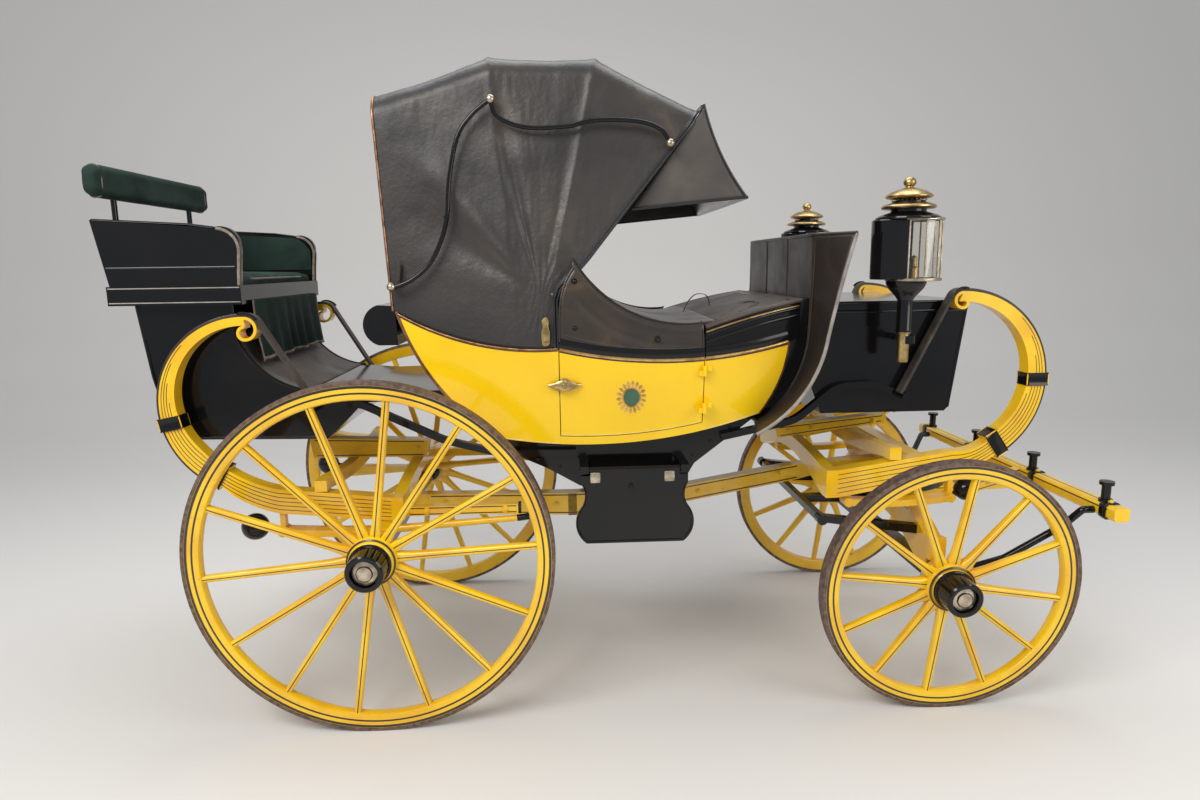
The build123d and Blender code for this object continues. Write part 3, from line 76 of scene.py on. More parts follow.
def sweep_mesh(name, rows, closed_across=False, closed_along=False, smooth=True):
    """A skin over rows of points, each row with the same number of points."""
    mesh = bpy.data.meshes.new(name)
    across = len(rows[0])
    faces = []
    for i in range(len(rows) if closed_along else len(rows) - 1):
        for j in range(across if closed_across else across - 1):
            k, m = (i + 1) % len(rows), (j + 1) % across
            faces.append((i * across + j, i * across + m, k * across + m, k * across + j))
    mesh.from_pydata([tuple(p) for row in rows for p in row], [], faces)
    if smooth:
        mesh.shade_smooth()
    piece = bpy.data.objects.new(name, mesh)
    bpy.context.collection.objects.link(piece)
    return piece


floor_rows = []
for y, z in [(-9, 0), (3.2, 0), (4.2, 0.08), (5.0, 0.36), (5.55, 0.9), (5.8, 1.7), (5.8, 7.5)]:
    floor_rows.append([(x, y, z) for x in (-14, 14)])
sweep = sweep_mesh("studio_sweep", floor_rows)
plaster, nodes, links, shader = new_material("studio_plaster")
set_inputs(shader, Base_Color=(0.72, 0.70, 0.67, 1), Roughness=0.85)
sweep.data.materials.append(plaster)

world = bpy.data.worlds.new("studio_air")
world.use_nodes = True
world.node_tree.nodes["Background"].inputs["Color"].default_value = (0.80, 0.84, 0.90, 1)
world.node_tree.nodes["Background"].inputs["Strength"].default_value = 0.55
bpy.context.scene.world = world


def soft_lamp(name, place, aim, size, watts, colour):
    """A broad lamp that looks from one place to another."""
    lamp = bpy.data.objects.new(name, bpy.data.lights.new(name, "AREA"))
    bpy.context.collection.objects.link(lamp)
    lamp.location = place
    lamp.rotation_euler = (Vector(aim) - Vector(place)).to_track_quat("-Z", "Y").to_euler()
    lamp.data.shape = "RECTANGLE"
    lamp.data.size, lamp.data.size_y = size
    lamp.data.energy = watts
    lamp.data.color = colour


soft_lamp("key_lamp", (-2.6, -3.6, 4.4), (0.0, 0.0, 0.9), (3.2, 2.2), 210, (1.0, 0.97, 0.92))
soft_lamp("fill_lamp", (3.6, -3.2, 2.6), (0.3, 0.0, 1.0), (2.4, 2.4), 70, (1.0, 0.98, 0.95))
soft_lamp("top_lamp", (0.2, 0.8, 5.2), (0.1, 0.0, 1.0), (5.0, 2.4), 110, (0.95, 0.97, 1.0))

# Wheels.
# Ash felloes and spokes driven into an elm nave, painted chrome yellow and lined in black by hand.
# An iron hoop is shrunk on, and a black hub with a bright cap runs on the axle arm.
SIDES = (("right", -1), ("left", 1))
WHEELS = {
    "rear": {"radius": 0.620, "track": 1.289, "camber": 1.2, "spokes": 14, "phase": 4.3, "x": 0.0},
    "front": {"radius": 0.463, "track": 1.301, "camber": 2.7, "spokes": 12, "phase": -8.0, "x": 2.007},
}
HOOP_THICK = 0.012
FELLOE_DEEP, FELLOE_HALF = 0.050, 0.021
NAVE_R = 0.086
DISH = math.tan(math.radians(3))


def two_tones(nodes, shade, low, colour, high):
    """A ramp that passes from one tone to the other between two levels of its input."""
    ramp = nodes.new("ShaderNodeValToRGB")
    for stop, tone, position in zip(ramp.color_ramp.elements, (shade, colour), (low, high)):
        stop.position = position
        stop.color = tone
    return ramp


def add_node(nodes, kind, **values):
    """A new shader node with its inputs set."""
    return set_inputs(nodes.new("ShaderNode" + kind), **values)


def wire(links, *routes):
    """Links nodes; each route names a node and its output, then a node and its input."""
    for source, output, target, entry in routes:
        links.new(source.outputs[output], target.inputs[entry])


def painted(name, colour, shade, rough, spread, dirt=(0.55, 0.32, 0.02, 1), coat=0.6, ripple=0.02, gleam=0.5):
    """Brushed coach paint under varnish: two tones that drift into each other, and a faint ripple."""
    material, nodes, links, shader = new_material(name)
    place = add_node(nodes, "TexCoord")
    cloud = add_node(nodes, "TexNoise", Scale=spread, Detail=5)
    tone = two_tones(nodes, shade, 0.36, colour, 0.58)
    specks = add_node(nodes, "TexNoise", Scale=95, Detail=3)
    wear_and_sheen = nodes.new("ShaderNodeValToRGB")
    wear_and_sheen.color_ramp.elements[0].position = 0.66
    wear_and_sheen.color_ramp.elements[1].position = 0.74
    stain = add_node(nodes, "MixRGB", Color2=dirt)
    bump = add_node(nodes, "Bump", Strength=ripple, Distance=0.004)
    wire(links, (place, "Object", cloud, "Vector"), (place, "Object", specks, "Vector"),
         (cloud, "Fac", tone, "Fac"), (specks, "Fac", wear_and_sheen, "Fac"), (wear_and_sheen, "Color", stain, "Fac"),
         (tone, "Color", stain, "Color1"), (stain, "Color", shader, "Base Color"),
         (cloud, "Fac", bump, "Height"), (bump, "Normal", shader, "Normal"))
    set_inputs(shader, Roughness=rough, Specular_IOR_Level=gleam, Coat_Weight=coat, Coat_Roughness=0.08)
    return material


chrome_yellow = painted("chrome_yellow_paint", (0.90, 0.56, 0.008, 1), (0.78, 0.42, 0.006, 1), 0.30, 5.0)
lining_black = painted("lining_black", (0.010, 0.009, 0.008, 1), (0.02, 0.016, 0.012, 1), 0.35, 9.0,
                       dirt=(0.05, 0.035, 0.02, 1))
coach_black = painted("coach_black", (0.004, 0.004, 0.005, 1), (0.006, 0.0055, 0.0055, 1), 0.13, 3.0,
                      dirt=(0.010, 0.009, 0.007, 1), coat=0.22, ripple=0.012, gleam=0.26)


def metal(name, colour, shade, rough, spread=40.0, pits=0.15):
    """Worn metal: two tones, duller where it is darker, and finely pitted."""
    material, nodes, links, shader = new_material(name)
    place = add_node(nodes, "TexCoord")
    cloud = add_node(nodes, "TexNoise", Scale=spread, Detail=6)
    tone = two_tones(nodes, shade, 0.35, colour, 0.62)
    polish = add_node(nodes, "MapRange", To_Min=rough + 0.18, To_Max=max(rough - 0.06, 0.05))
    bump = add_node(nodes, "Bump", Strength=pits, Distance=0.001)
    wire(links, (place, "Object", cloud, "Vector"), (cloud, "Fac", tone, "Fac"),
         (cloud, "Fac", polish, "Value"), (cloud, "Fac", bump, "Height"),
         (tone, "Color", shader, "Base Color"), (polish, "Result", shader, "Roughness"),
         (bump, "Normal", shader, "Normal"))
    shader.inputs["Metallic"].default_value = 1.0
    return material


brass = metal("worn_brass", (0.62, 0.45, 0.20, 1), (0.33, 0.22, 0.09, 1), 0.26)
bright_cap = metal("bright_cap_metal", (0.60, 0.53, 0.42, 1), (0.36, 0.29, 0.19, 1), 0.24)
hoop_iron = metal("hoop_iron", (0.22, 0.145, 0.115, 1), (0.10, 0.065, 0.05, 1), 0.52, 60.0, 0.5)
hoop_iron.node_tree.nodes["Principled BSDF"].inputs["Metallic"].default_value = 0.55


def dress(name, *materials):
    """Gives a CAD piece its finish."""
    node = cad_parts[name]
    node.data.materials.clear()
    for material in materials:
        node.data.materials.append(material)


def lathe(name, profile, matrix, steps=96, closed=True, material=None):
    """A piece turned about its own axis from a profile of radius and height."""
    rows = []
    for i in range(steps):
        a = 2 * math.pi * i / steps
        rows.append([matrix @ Vector((r * math.cos(a), r * math.sin(a), h)) for r, h in profile])
    piece = sweep_mesh(name, rows, closed_across=closed, closed_along=True)
    tidy(piece)
    if material:
        piece.data.materials.append(material)
    return piece


@contextlib.contextmanager
def opened(piece):
    """A piece's mesh open for changes, written back at the end of the block."""
    shape = bmesh.new()
    shape.from_mesh(piece.data)
    yield shape
    shape.to_mesh(piece.data)
    shape.free()


def tidy(piece, angle=35):
    """Closes seams, turns faces outwards and keeps hard corners hard."""
    with opened(piece) as shape:
        bmesh.ops.remove_doubles(shape, verts=shape.verts, dist=1e-5)
        bmesh.ops.recalc_face_normals(shape, faces=shape.faces)
    piece.data.shade_smooth()
    with opened(piece) as shape:
        for edge in shape.edges:
            edge.smooth = not (len(edge.link_faces) == 2 and edge.calc_face_angle(0) > math.radians(angle))


def tree_with(name, inputs):
    """A node tree with its geometry sockets and the named inputs."""
    tree = bpy.data.node_groups.new(name, "GeometryNodeTree")
    tree.interface.new_socket("Geometry", in_out="OUTPUT", socket_type="NodeSocketGeometry")
    for label, kind in inputs:
        tree.interface.new_socket(label, in_out="INPUT", socket_type=kind)
    return tree, tree.nodes.new("NodeGroupInput"), tree.nodes.new("NodeGroupOutput")


def grow(name, tree, settings, matrix=None):
    """Runs a node tree with its inputs set, and keeps what it makes as a plain mesh."""
    piece = bpy.data.objects.new(name, bpy.data.meshes.new(name))
    bpy.context.collection.objects.link(piece)
    modifier = piece.modifiers.new("grow", "NODES")
    modifier.node_group = tree
    for item in tree.interface.items_tree:
        if item.in_out == "INPUT" and item.name in settings:
            modifier[item.identifier] = settings[item.name]
    bpy.context.view_layer.update()
    made = bpy.data.meshes.new_from_object(piece.evaluated_get(bpy.context.evaluated_depsgraph_get()))
    piece.modifiers.clear()
    piece.data = made
    if matrix:
        made.transform(matrix)
    return piece


def discard(piece):
    """Takes away a pattern piece after its copies are made."""
    bpy.data.objects.remove(piece, do_unlink=True)


def copies_tree():
    """Sets a small piece on each point of a path, turned to the way it faces and runs."""
    tree, given, made = tree_with("copies_on_places", [
        ("Piece", "NodeSocketObject"), ("Places", "NodeSocketObject"), ("Finish", "NodeSocketMaterial")])
    link = tree.links.new
    piece = tree.nodes.new("GeometryNodeObjectInfo")
    places = tree.nodes.new("GeometryNodeObjectInfo")
    turned = tree.nodes.new("FunctionNodeAxesToRotation")
    turned.primary_axis = "Z"
    turned.secondary_axis = "X"
    copies = tree.nodes.new("GeometryNodeInstanceOnPoints")
    real = tree.nodes.new("GeometryNodeRealizeInstances")
    coat = tree.nodes.new("GeometryNodeSetMaterial")
    link(given.outputs["Piece"], piece.inputs["Object"])
    link(given.outputs["Places"], places.inputs["Object"])
    for label, socket in (("facing", "Primary Axis"), ("along", "Secondary Axis")):
        field = tree.nodes.new("GeometryNodeInputNamedAttribute")
        field.data_type = "FLOAT_VECTOR"
        field.inputs["Name"].default_value = label
        link(field.outputs["Attribute"], turned.inputs[socket])
    link(places.outputs["Geometry"], copies.inputs["Points"])
    link(piece.outputs["Geometry"], copies.inputs["Instance"])
    link(turned.outputs["Rotation"], copies.inputs["Rotation"])
    link(copies.outputs[0], real.inputs[0])
    link(real.outputs[0], coat.inputs["Geometry"])
    link(given.outputs["Finish"], coat.inputs["Material"])
    link(coat.outputs[0], made.inputs[0])
    return tree


def set_down(name, piece, places, material, matrix=None):
    """Copies of a piece; each place is a point, the way it faces and the way it runs."""
    mesh = bpy.data.meshes.new("places")
    mesh.from_pydata([tuple(place[0]) for place in places], [], [])
    for index, label in ((1, "facing"), (2, "along")):
        field = mesh.attributes.new(label, "FLOAT_VECTOR", "POINT")
        for i, place in enumerate(places):
            field.data[i].vector = place[index]
    spots = bpy.data.objects.new("places", mesh)
    bpy.context.collection.objects.link(spots)
    copies = grow(name, copies_on_places, {"Piece": piece, "Places": spots, "Finish": material}, matrix)
    discard(spots)
    return copies


def set_round(name, piece, count, first, material, matrix):
    """Copies of a piece round an axis: the spokes of a wheel, or what is drawn on them."""
    angles = [2 * math.pi * i / count + first for i in range(count)]
    places = [(Vector(), Vector((0, 0, 1)), Vector((math.cos(a), math.sin(a), 0))) for a in angles]
    return set_down(name, piece, places, material, matrix)


copies_on_places = copies_tree()


def squared_circle(count, power):
    """Points round a circle that is drawn out towards a square."""
    angles = [2 * math.pi * (i + 0.5) / count for i in range(count)]
    return [[math.copysign(abs(v) ** power, v) for v in (math.cos(a), math.sin(a))] for a in angles]


def spoke_rows(inner, count, line):
    """Sections along one spoke, from its pointed foot between its neighbours to its shouldered tip."""
    half_share = math.pi / count
    foot = NAVE_R * math.tan(half_share) * 0.98
    stations = [(NAVE_R - 0.006, foot, 0.0165), (NAVE_R + 0.012, foot * 0.96, 0.0175),
                (NAVE_R + 0.028, 0.0160, 0.0175), (NAVE_R + 0.062, 0.0140, 0.0165),
                (NAVE_R + 0.15, 0.0132, 0.0158), (inner - 0.03, 0.0118, 0.0142),
                (inner + 0.004, 0.0112, 0.0138)]
    rows = []
    for r, wide, deep in stations:
        z = (r - inner) * DISH
        if line:
            rows.append([(r, y, z + deep + lift) for y, lift in
                         ((-0.0016, 0.0001), (-0.0016, 0.0005), (0.0016, 0.0005), (0.0016, 0.0001))])
            continue
        rows.append([(r, wide * c, z + deep * s) for c, s in squared_circle(16, 0.55)])
    return rows


def build_wheel(end, side_name, side):
    """One wheel's wooden parts, painted lines, cap and collar."""
    size = WHEELS[end]
    tilt = math.radians(size["camber"])
    z_axis = Vector((0, side * math.cos(tilt), -math.sin(tilt)))
    x_axis = Vector((1, 0, 0))
    centre = Vector((size["x"] - MIDDLE, side * size["track"] / 2, size["radius"] * math.cos(tilt)))
    place = Matrix.Translation(centre) @ Matrix((x_axis, z_axis.cross(x_axis), z_axis)).transposed().to_4x4()
    outer = size["radius"] - HOOP_THICK - 0.0001
    inner = outer - FELLOE_DEEP
    body = f"{end}_wheel_{side_name}"
    half = FELLOE_HALF
    felloe = lathe(f"{end}_felloe_{side_name}", [
        (outer, -half), (outer, half), (inner + 0.012, half), (inner + 0.004, half - 0.003),
        (inner, half - 0.009), (inner, -half + 0.009), (inner + 0.004, -half + 0.003),
        (inner + 0.012, -half)], place, 128, material=chrome_yellow)
    back = (inner - NAVE_R) * DISH
    nave = lathe(f"{end}_nave_{side_name}", [
        (0.0445, -0.095), (0.064, -0.095), (0.067, -0.088), (0.071, -0.082), (0.080, -back - 0.030),
        (NAVE_R - 0.001, -back - 0.024), (NAVE_R - 0.001, -back + 0.020), (0.081, -back + 0.027),
        (0.080, -back + 0.031), (0.082, -back + 0.034), (0.080, -back + 0.038), (0.078, 0.010),
        (0.074, 0.017), (0.0690, 0.0215), (0.0445, 0.0215)], place, 64, material=chrome_yellow)
    count, phase = size["spokes"], -side * math.radians(size["phase"])
    spoke = sweep_mesh("spoke", spoke_rows(inner, count, False), closed_across=True)
    spokes = set_round(f"{end}_spokes_{side_name}", spoke, count, phase, chrome_yellow, place)
    line = sweep_mesh("line", spoke_rows(inner, count, True))
    lines = set_round(f"{end}_spoke_lines_{side_name}", line, count, phase, lining_black, place)
    discard(spoke)
    discard(line)
    tidy(spokes)
    lines.data.shade_smooth()
    for piece in (felloe, nave, spokes):
        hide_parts(f"{end}_wheel_{side_name}")
    rings = []
    for index, (r, wide) in enumerate(((outer - 0.0055, 0.0042), (outer - 0.026, 0.0030))):
        rings.append(lathe(f"{end}_felloe_line_{index}_{side_name}", [
            (r + wide, half - 0.001), (r + wide, half + 0.0004), (r - wide, half + 0.0004),
            (r - wide, half - 0.001)], place, 128, material=lining_black))
    rings.append(lathe(f"{end}_nave_line_{side_name}", [
        (0.0835, -back + 0.0325), (0.0838, -back + 0.036), (0.0795, -back + 0.0385), (0.078, -back + 0.036)],
        place, 64, material=lining_black))
    for piece in [felloe, nave, spokes, lines] + rings:
        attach(piece, body)
    dress(f"{end}_tyre_{side_name}", hoop_iron)
    dress(f"{end}_hub_{side_name}", coach_black)
    cap_low = 0.112 - 0.030
    cap = lathe(f"{end}_hub_cap_{side_name}", [
        (0.0, cap_low + 0.0245), (0.022, cap_low + 0.0245), (0.0262, cap_low + 0.0235),
        (0.0275, cap_low + 0.021), (0.0275, cap_low + 0.0185), (0.034, cap_low + 0.0175),
        (0.0415, cap_low + 0.0155), (0.0435, cap_low + 0.011), (0.0437, cap_low + 0.0005)],
        place, 48, closed=False, material=bright_cap)
    collar = lathe(f"{end}_hub_collar_{side_name}", [
        (0.0685, 0.0222), (0.0715, 0.0235), (0.0725, 0.028), (0.0715, 0.0325), (0.0685, 0.034)],
        place, 64, closed=False, material=coach_black)
    for piece in (cap, collar):
        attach(piece, body)


for end in ("rear", "front"):
    for side_name, side in SIDES:
        build_wheel(end, side_name, side)

# Axles and turning gear.
# The fore carriage turns on a king pin under an iron ring plate, and its futchells carry the splinter bar.
# Timbers are painted and lined like the wheels, and the irons under them are black.
def at(x, y, z):
    """A place in the scene, from millimetres ahead of the rear axle, to the left and up."""
    return Vector((x / 1000 - MIDDLE, y / 1000, z / 1000))


def finish(piece, material, body="carriage"):
    """Gives a piece its finish and the body that it moves with."""
    piece.data.materials.clear()
    piece.data.materials.append(material)
    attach(piece, body)
    return piece


def close_ends(rows):
    """Draws the first and the last row together in their middles."""
    count = len(rows[0])
    rows.insert(0, [sum(rows[0], Vector()) / count] * count)
    rows.append([sum(rows[-1], Vector()) / count] * count)


def band(name, path, facing, profile, loop=False):
    """A strip or bar along a path; its profile lists how far aside and how far out each corner lies."""
    rows = []
    last = len(path) - 1
    for i, place in enumerate(path):
        before = path[i - 1] if loop else path[max(i - 1, 0)]
        after = path[(i + 1) % len(path)] if loop else path[min(i + 1, last)]
        along = (after - before).normalized()
        out = facing[i] if isinstance(facing, list) else facing
        side = out.cross(along).normalized()
        out = along.cross(side)
        rows.append([place + side * a + out * h for a, h in profile])
    if not loop:
        close_ends(rows)
    piece = sweep_mesh(name, rows, closed_across=True, closed_along=loop)
    tidy(piece)
    return piece


def flat(width, lift=0.0004, under=0.0008):
    """The section of a painted line or a flat braid."""
    return [(width / 2, -under), (width / 2, lift), (-width / 2, lift), (-width / 2, -under)]


def joined(name, pieces):
    """One mesh from many."""
    shape = bmesh.new()
    for piece in pieces:
        shape.from_mesh(piece.data)
        discard(piece)
    mesh = bpy.data.meshes.new(name)
    shape.to_mesh(mesh)
    shape.free()
    whole = bpy.data.objects.new(name, mesh)
    bpy.context.collection.objects.link(whole)
    return whole


def turned_piece(name, profile, steps=20):
    """A small turned pattern, to be copied by set_down."""
    return lathe(name, profile, Matrix.Identity(4), steps, closed=False)


UP, AHEAD, LEFT = Vector((0, 0, 1)), Vector((1, 0, 0)), Vector((0, 1, 0))
FUTCHELL_Y = 180
STRAPS_Y = (-668, -250, 250, 668)
nut = turned_piece("nut", [(0.0, 0.0125), (0.003, 0.0122), (0.0048, 0.0105), (0.005, 0.008), (0.0085, 0.0078),
                           (0.0095, 0.0066), (0.0095, 0.0012), (0.0135, 0.001), (0.0138, 0.0)], 18)
for name in ("axle_bed", "futchells", "splinter_bar", "pole_socket"):
    dress(name, chrome_yellow)
for name in ("front_axle", "rear_axle", "lower_plate", "upper_plate", "sway_frame", "splinter_irons"):
    dress(name, coach_black)
lines = []
for side in (-1, 1):
    out = LEFT * side
    for edge in ([(2050, 638), (2292, 654), (2520, 718)], [(2050, 680), (2292, 681), (2520, 748)]):
        lines.append(band("line", [at(x, side * FUTCHELL_Y, z) for x, z in edge], out, flat(0.0035)))
for x, out in ((1977, -AHEAD), (2037, AHEAD)):
    for height in (683, 655):
        reach = 250 if height > 670 else 360
        lines.append(band("line", [at(x, -reach, height), at(x, reach, height)], out, flat(0.0035)))
for x, z, out in ((2550, 757, UP), (2576.6, 744, AHEAD), (2576.6, 722, AHEAD), (2523, 744, -AHEAD)):
    lines.append(band("line", [at(x, -690, z), at(x, 690, z)], out, flat(0.0045)))
finish(joined("fore_carriage_lines", lines), lining_black, "fore_carriage")
straps = []
hoop = [(2520, 706), (2576, 706), (2576, 760), (2520, 760)]
strap_section = [(0.017, -0.004), (0.017, 0.0), (0.014, 0.002), (-0.014, 0.002), (-0.017, 0.0),
                 (-0.017, -0.004)]
for y in STRAPS_Y:
    corners = []
    for i in range(4):
        (x0, z0), (x1, z1) = hoop[i], hoop[(i + 1) % 4]
        corners += [at(x0 + (x1 - x0) * t, y, z0 + (z1 - z0) * t) for t in (0.14, 0.5, 0.86)]
    middle = at(2550, y, 733)
    straps.append(band("strap", corners, [(p - middle).normalized() for p in corners], strap_section,
                       loop=True))
finish(joined("splinter_straps", straps), coach_black, "fore_carriage")
places = [(at(2550, y, 758), UP, AHEAD) for y in STRAPS_Y]
places += [(at(2300 + 90 * i, side * FUTCHELL_Y, 690 + 14 * i), LEFT * side, AHEAD)
           for i in range(3) for side in (-1, 1)]
places += [(at(2037, y, 668), AHEAD, UP) for y in (-300, -90, 90, 300)]
nuts = set_down("fore_carriage_nuts", nut, places, chrome_yellow)
finish(nuts, chrome_yellow, "fore_carriage")

# Perch and cross beams.
# One ash perch joins the two axles, with boards and arched transoms on it that carry the springs' packs.
# Each is chamfered, painted ochre yellow and lined in black along its edges.
def rounded(radius, count=12, squeeze=1.0):
    """The section of a cord, rod or half-round bead."""
    return [(radius * math.cos(2 * math.pi * i / count), radius * squeeze * math.sin(2 * math.pi * i / count))
            for i in range(count)]


for name in ("perch", "hind_transoms", "front_transoms", "rear_under_springs", "front_under_springs"):
    dress(name, chrome_yellow)
dress("spring_balls", coach_black)
SPRING_Y, BEAM_HALF, PERCH_HALF, TRANSOM_HALF = 446, 17, 28, 27
lines, bands = [], []
perch_top = [(1641, 757), (1160, 676), (687, 657), (100, 667)]
perch_low = [(1641, 690), (1160, 604), (687, 562), (60, 584)]
transom_edges = [((-357, 908), (84, 892)), ((-351, 844), (78, 838)), ((1561, 915), (1999, 956)),
                 ((1567, 881), (1993, 935))]
for side in (-1, 1):
    out = LEFT * side
    for edge, shift in ((perch_top, -9), (perch_low, 9)):
        lines.append(band("line", [at(x, side * PERCH_HALF, z + shift) for x, z in edge], out, flat(0.005)))
    beam = side * (SPRING_Y + BEAM_HALF)
    for z in (745, 723):
        lines.append(band("line", [at(84, beam, z), at(480, beam, z)], out, flat(0.004)))
    bands.append(band("band", [at(487, side * SPRING_Y, 734), at(497.6, side * SPRING_Y, 734)], out,
                      [(0.0175, -0.0175), (0.0175, 0.0175), (-0.0175, 0.0175), (-0.0175, -0.0175)]))
    stay = [at(482, side * SPRING_Y, 694), at(526, side * SPRING_Y, 699)]
    bands.append(band("band", stay, out, rounded(0.0122, 16)))
    for edge in transom_edges:
        lines.append(band("line", [at(x, side * TRANSOM_HALF, z) for x, z in edge], out, flat(0.004)))
    lines.append(band("line", [at(688, side * 27.6, 560), at(688, side * 27.6, 655)], out, flat(0.036)))
finish(joined("perch_lines", lines), lining_black)
finish(joined("beam_ends", bands), coach_black)
places = []
for side in (-1, 1):
    for x, z in ((90, 734), (160, 734), (440, 734)):
        places.append((at(x, side * (SPRING_Y + BEAM_HALF), z), LEFT * side, AHEAD))
    for x, z in ((-330, 882), (58, 868), (1600, 905), (1960, 938), (1700, 915)):
        places.append((at(x, side * TRANSOM_HALF, z), LEFT * side, AHEAD))
    for x, z in ((160, 630), (620, 612), (1220, 650), (1560, 718)):
        places.append((at(x, side * PERCH_HALF, z), LEFT * side, AHEAD))
finish(set_down("perch_nuts", nut, places, chrome_yellow), chrome_yellow)

# C-springs and braces.
# Six steel leaves each, painted yellow, are held by gloss black clips, and the main leaf curls into a volute.
# A thick leather brace, stitched in rows, runs up the back and over the curl down to the body's iron loop.
def leather(name, colour, shade, sheen_colour, rough, spread, grain, crease=0.25, coat=0.15):
    """Oiled hide: broad worn clouds whose lightest tone is a painted sheen, pores and fine creases."""
    material, nodes, links, shader = new_material(name)
    place = add_node(nodes, "TexCoord")
    cloud = add_node(nodes, "TexNoise", Scale=spread, Detail=6, Distortion=0.6)
    tone = two_tones(nodes, shade, 0.32, colour, 0.60)
    # The lightest stop, the sheen colour, is a painted sheen: lighter patches scattered by the noise that
    # stand in for highlights.
    wear_and_sheen = tone.color_ramp.elements.new(0.78)
    wear_and_sheen.color = sheen_colour
    polish = add_node(nodes, "MapRange", From_Min=0.3, From_Max=0.75, To_Min=rough + 0.12,
                      To_Max=rough - 0.10)
    pores = add_node(nodes, "TexVoronoi", Scale=grain)
    wrinkle = add_node(nodes, "TexNoise", Scale=grain / 9, Detail=8)
    fine = add_node(nodes, "Bump", Strength=0.18, Distance=0.0006)
    broad = add_node(nodes, "Bump", Strength=crease, Distance=0.004)
    wire(links, (place, "Object", cloud, "Vector"), (place, "Object", pores, "Vector"),
         (place, "Object", wrinkle, "Vector"), (cloud, "Fac", tone, "Fac"), (cloud, "Fac", polish, "Value"),
         (tone, "Color", shader, "Base Color"), (polish, "Result", shader, "Roughness"),
         (wrinkle, "Fac", broad, "Height"), (pores, "Distance", fine, "Height"),
         (broad, "Normal", fine, "Normal"), (fine, "Normal", shader, "Normal"))
    set_inputs(shader, Specular_IOR_Level=0.34, Coat_Weight=coat, Coat_Roughness=0.3)
    return material


brace_leather = leather("brace_leather", (0.050, 0.037, 0.029, 1), (0.026, 0.020, 0.017, 1),
                        (0.085, 0.065, 0.048, 1), 0.45, 14, 900)
thread = leather("waxed_thread", (0.16, 0.12, 0.08, 1), (0.10, 0.07, 0.05, 1), (0.20, 0.16, 0.11, 1), 0.6,
                 40, 1200)
SPRINGS = {
    "rear": {"centre": (-420, 1130), "radius": 310, "eye_z": 1398, "turn": -1, "pin": (-221, 1110),
             "clips": ((191, 61), (241, 74))},
    "front": {"centre": (2080, 1170), "radius": 320, "eye_z": 1458, "turn": 1, "pin": (1895, 1117),
              "clips": ((0, 63), (-56, 79))},
}
STRAP, PIN_R, SLACK = 9, 15, 0.3
thread_line = ((-0.0032, -0.0004), (-0.0016, 0.0006), (0.0016, 0.0006), (0.0032, -0.0004))
stitch = band("stitch", [Vector((x, 0, z)) for x, z in thread_line], UP, rounded(0.0006, 5))
dress("rear_c_springs", chrome_yellow)
dress("front_c_springs", chrome_yellow)
dress("braces", brace_leather)
CLIP_HALF = 0.0328
sleeve_line = [(-0.0235, -0.002), (-0.0235, 0.0006), (-0.0215, 0.0022), (-0.018, 0.0008), (0.018, 0.0008),
               (0.0215, 0.0022), (0.0235, 0.0006), (0.0235, -0.002)]
clips, covers, stitches = [], [], []


def standing(place, out):
    """Stands a turned piece on a place, with its axis along the way out."""
    return Matrix.Translation(place) @ out.to_track_quat("Z", "Y").to_matrix().to_4x4()


def brace_path(spec):
    """The brace's outer face in the side view, with the way it faces at each point."""
    (cx, cz), radius, turn = spec["centre"], spec["radius"] + STRAP, spec["turn"]
    curl = cz + spec["radius"] - spec["eye_z"]
    px, pz = spec["pin"]
    heading = math.atan2(pz - spec["eye_z"], px - cx)
    swing = math.acos((curl - PIN_R - SLACK) / math.hypot(px - cx, pz - spec["eye_z"]))
    lift = (heading - turn * swing) % (2 * math.pi)
    start = math.radians(spec["clips"][1][0] + (turn * 5))
    path = []
    steps = 60
    for i in range(steps + 1):
        a = start + (math.pi / 2 - start) * i / steps
        path.append((cx + radius * math.cos(a), cz + radius * math.sin(a), math.cos(a), math.sin(a)))
    for i in range(1, 13):
        a = math.pi / 2 + (lift - math.pi / 2) * i / 12
        c, s = math.cos(a), math.sin(a)
        path.append((cx + (curl + STRAP) * c, spec["eye_z"] + (curl + STRAP) * s, c, s))
    end = (px + (PIN_R + STRAP + SLACK) * math.cos(lift), pz + (PIN_R + STRAP + SLACK) * math.sin(lift))
    x0, z0 = path[-1][:2]
    for i in range(1, 31):
        x, z = x0 + (end[0] - x0) * i / 30, z0 + (end[1] - z0) * i / 30
        path.append((x, z, math.cos(lift), math.sin(lift)))
    return path


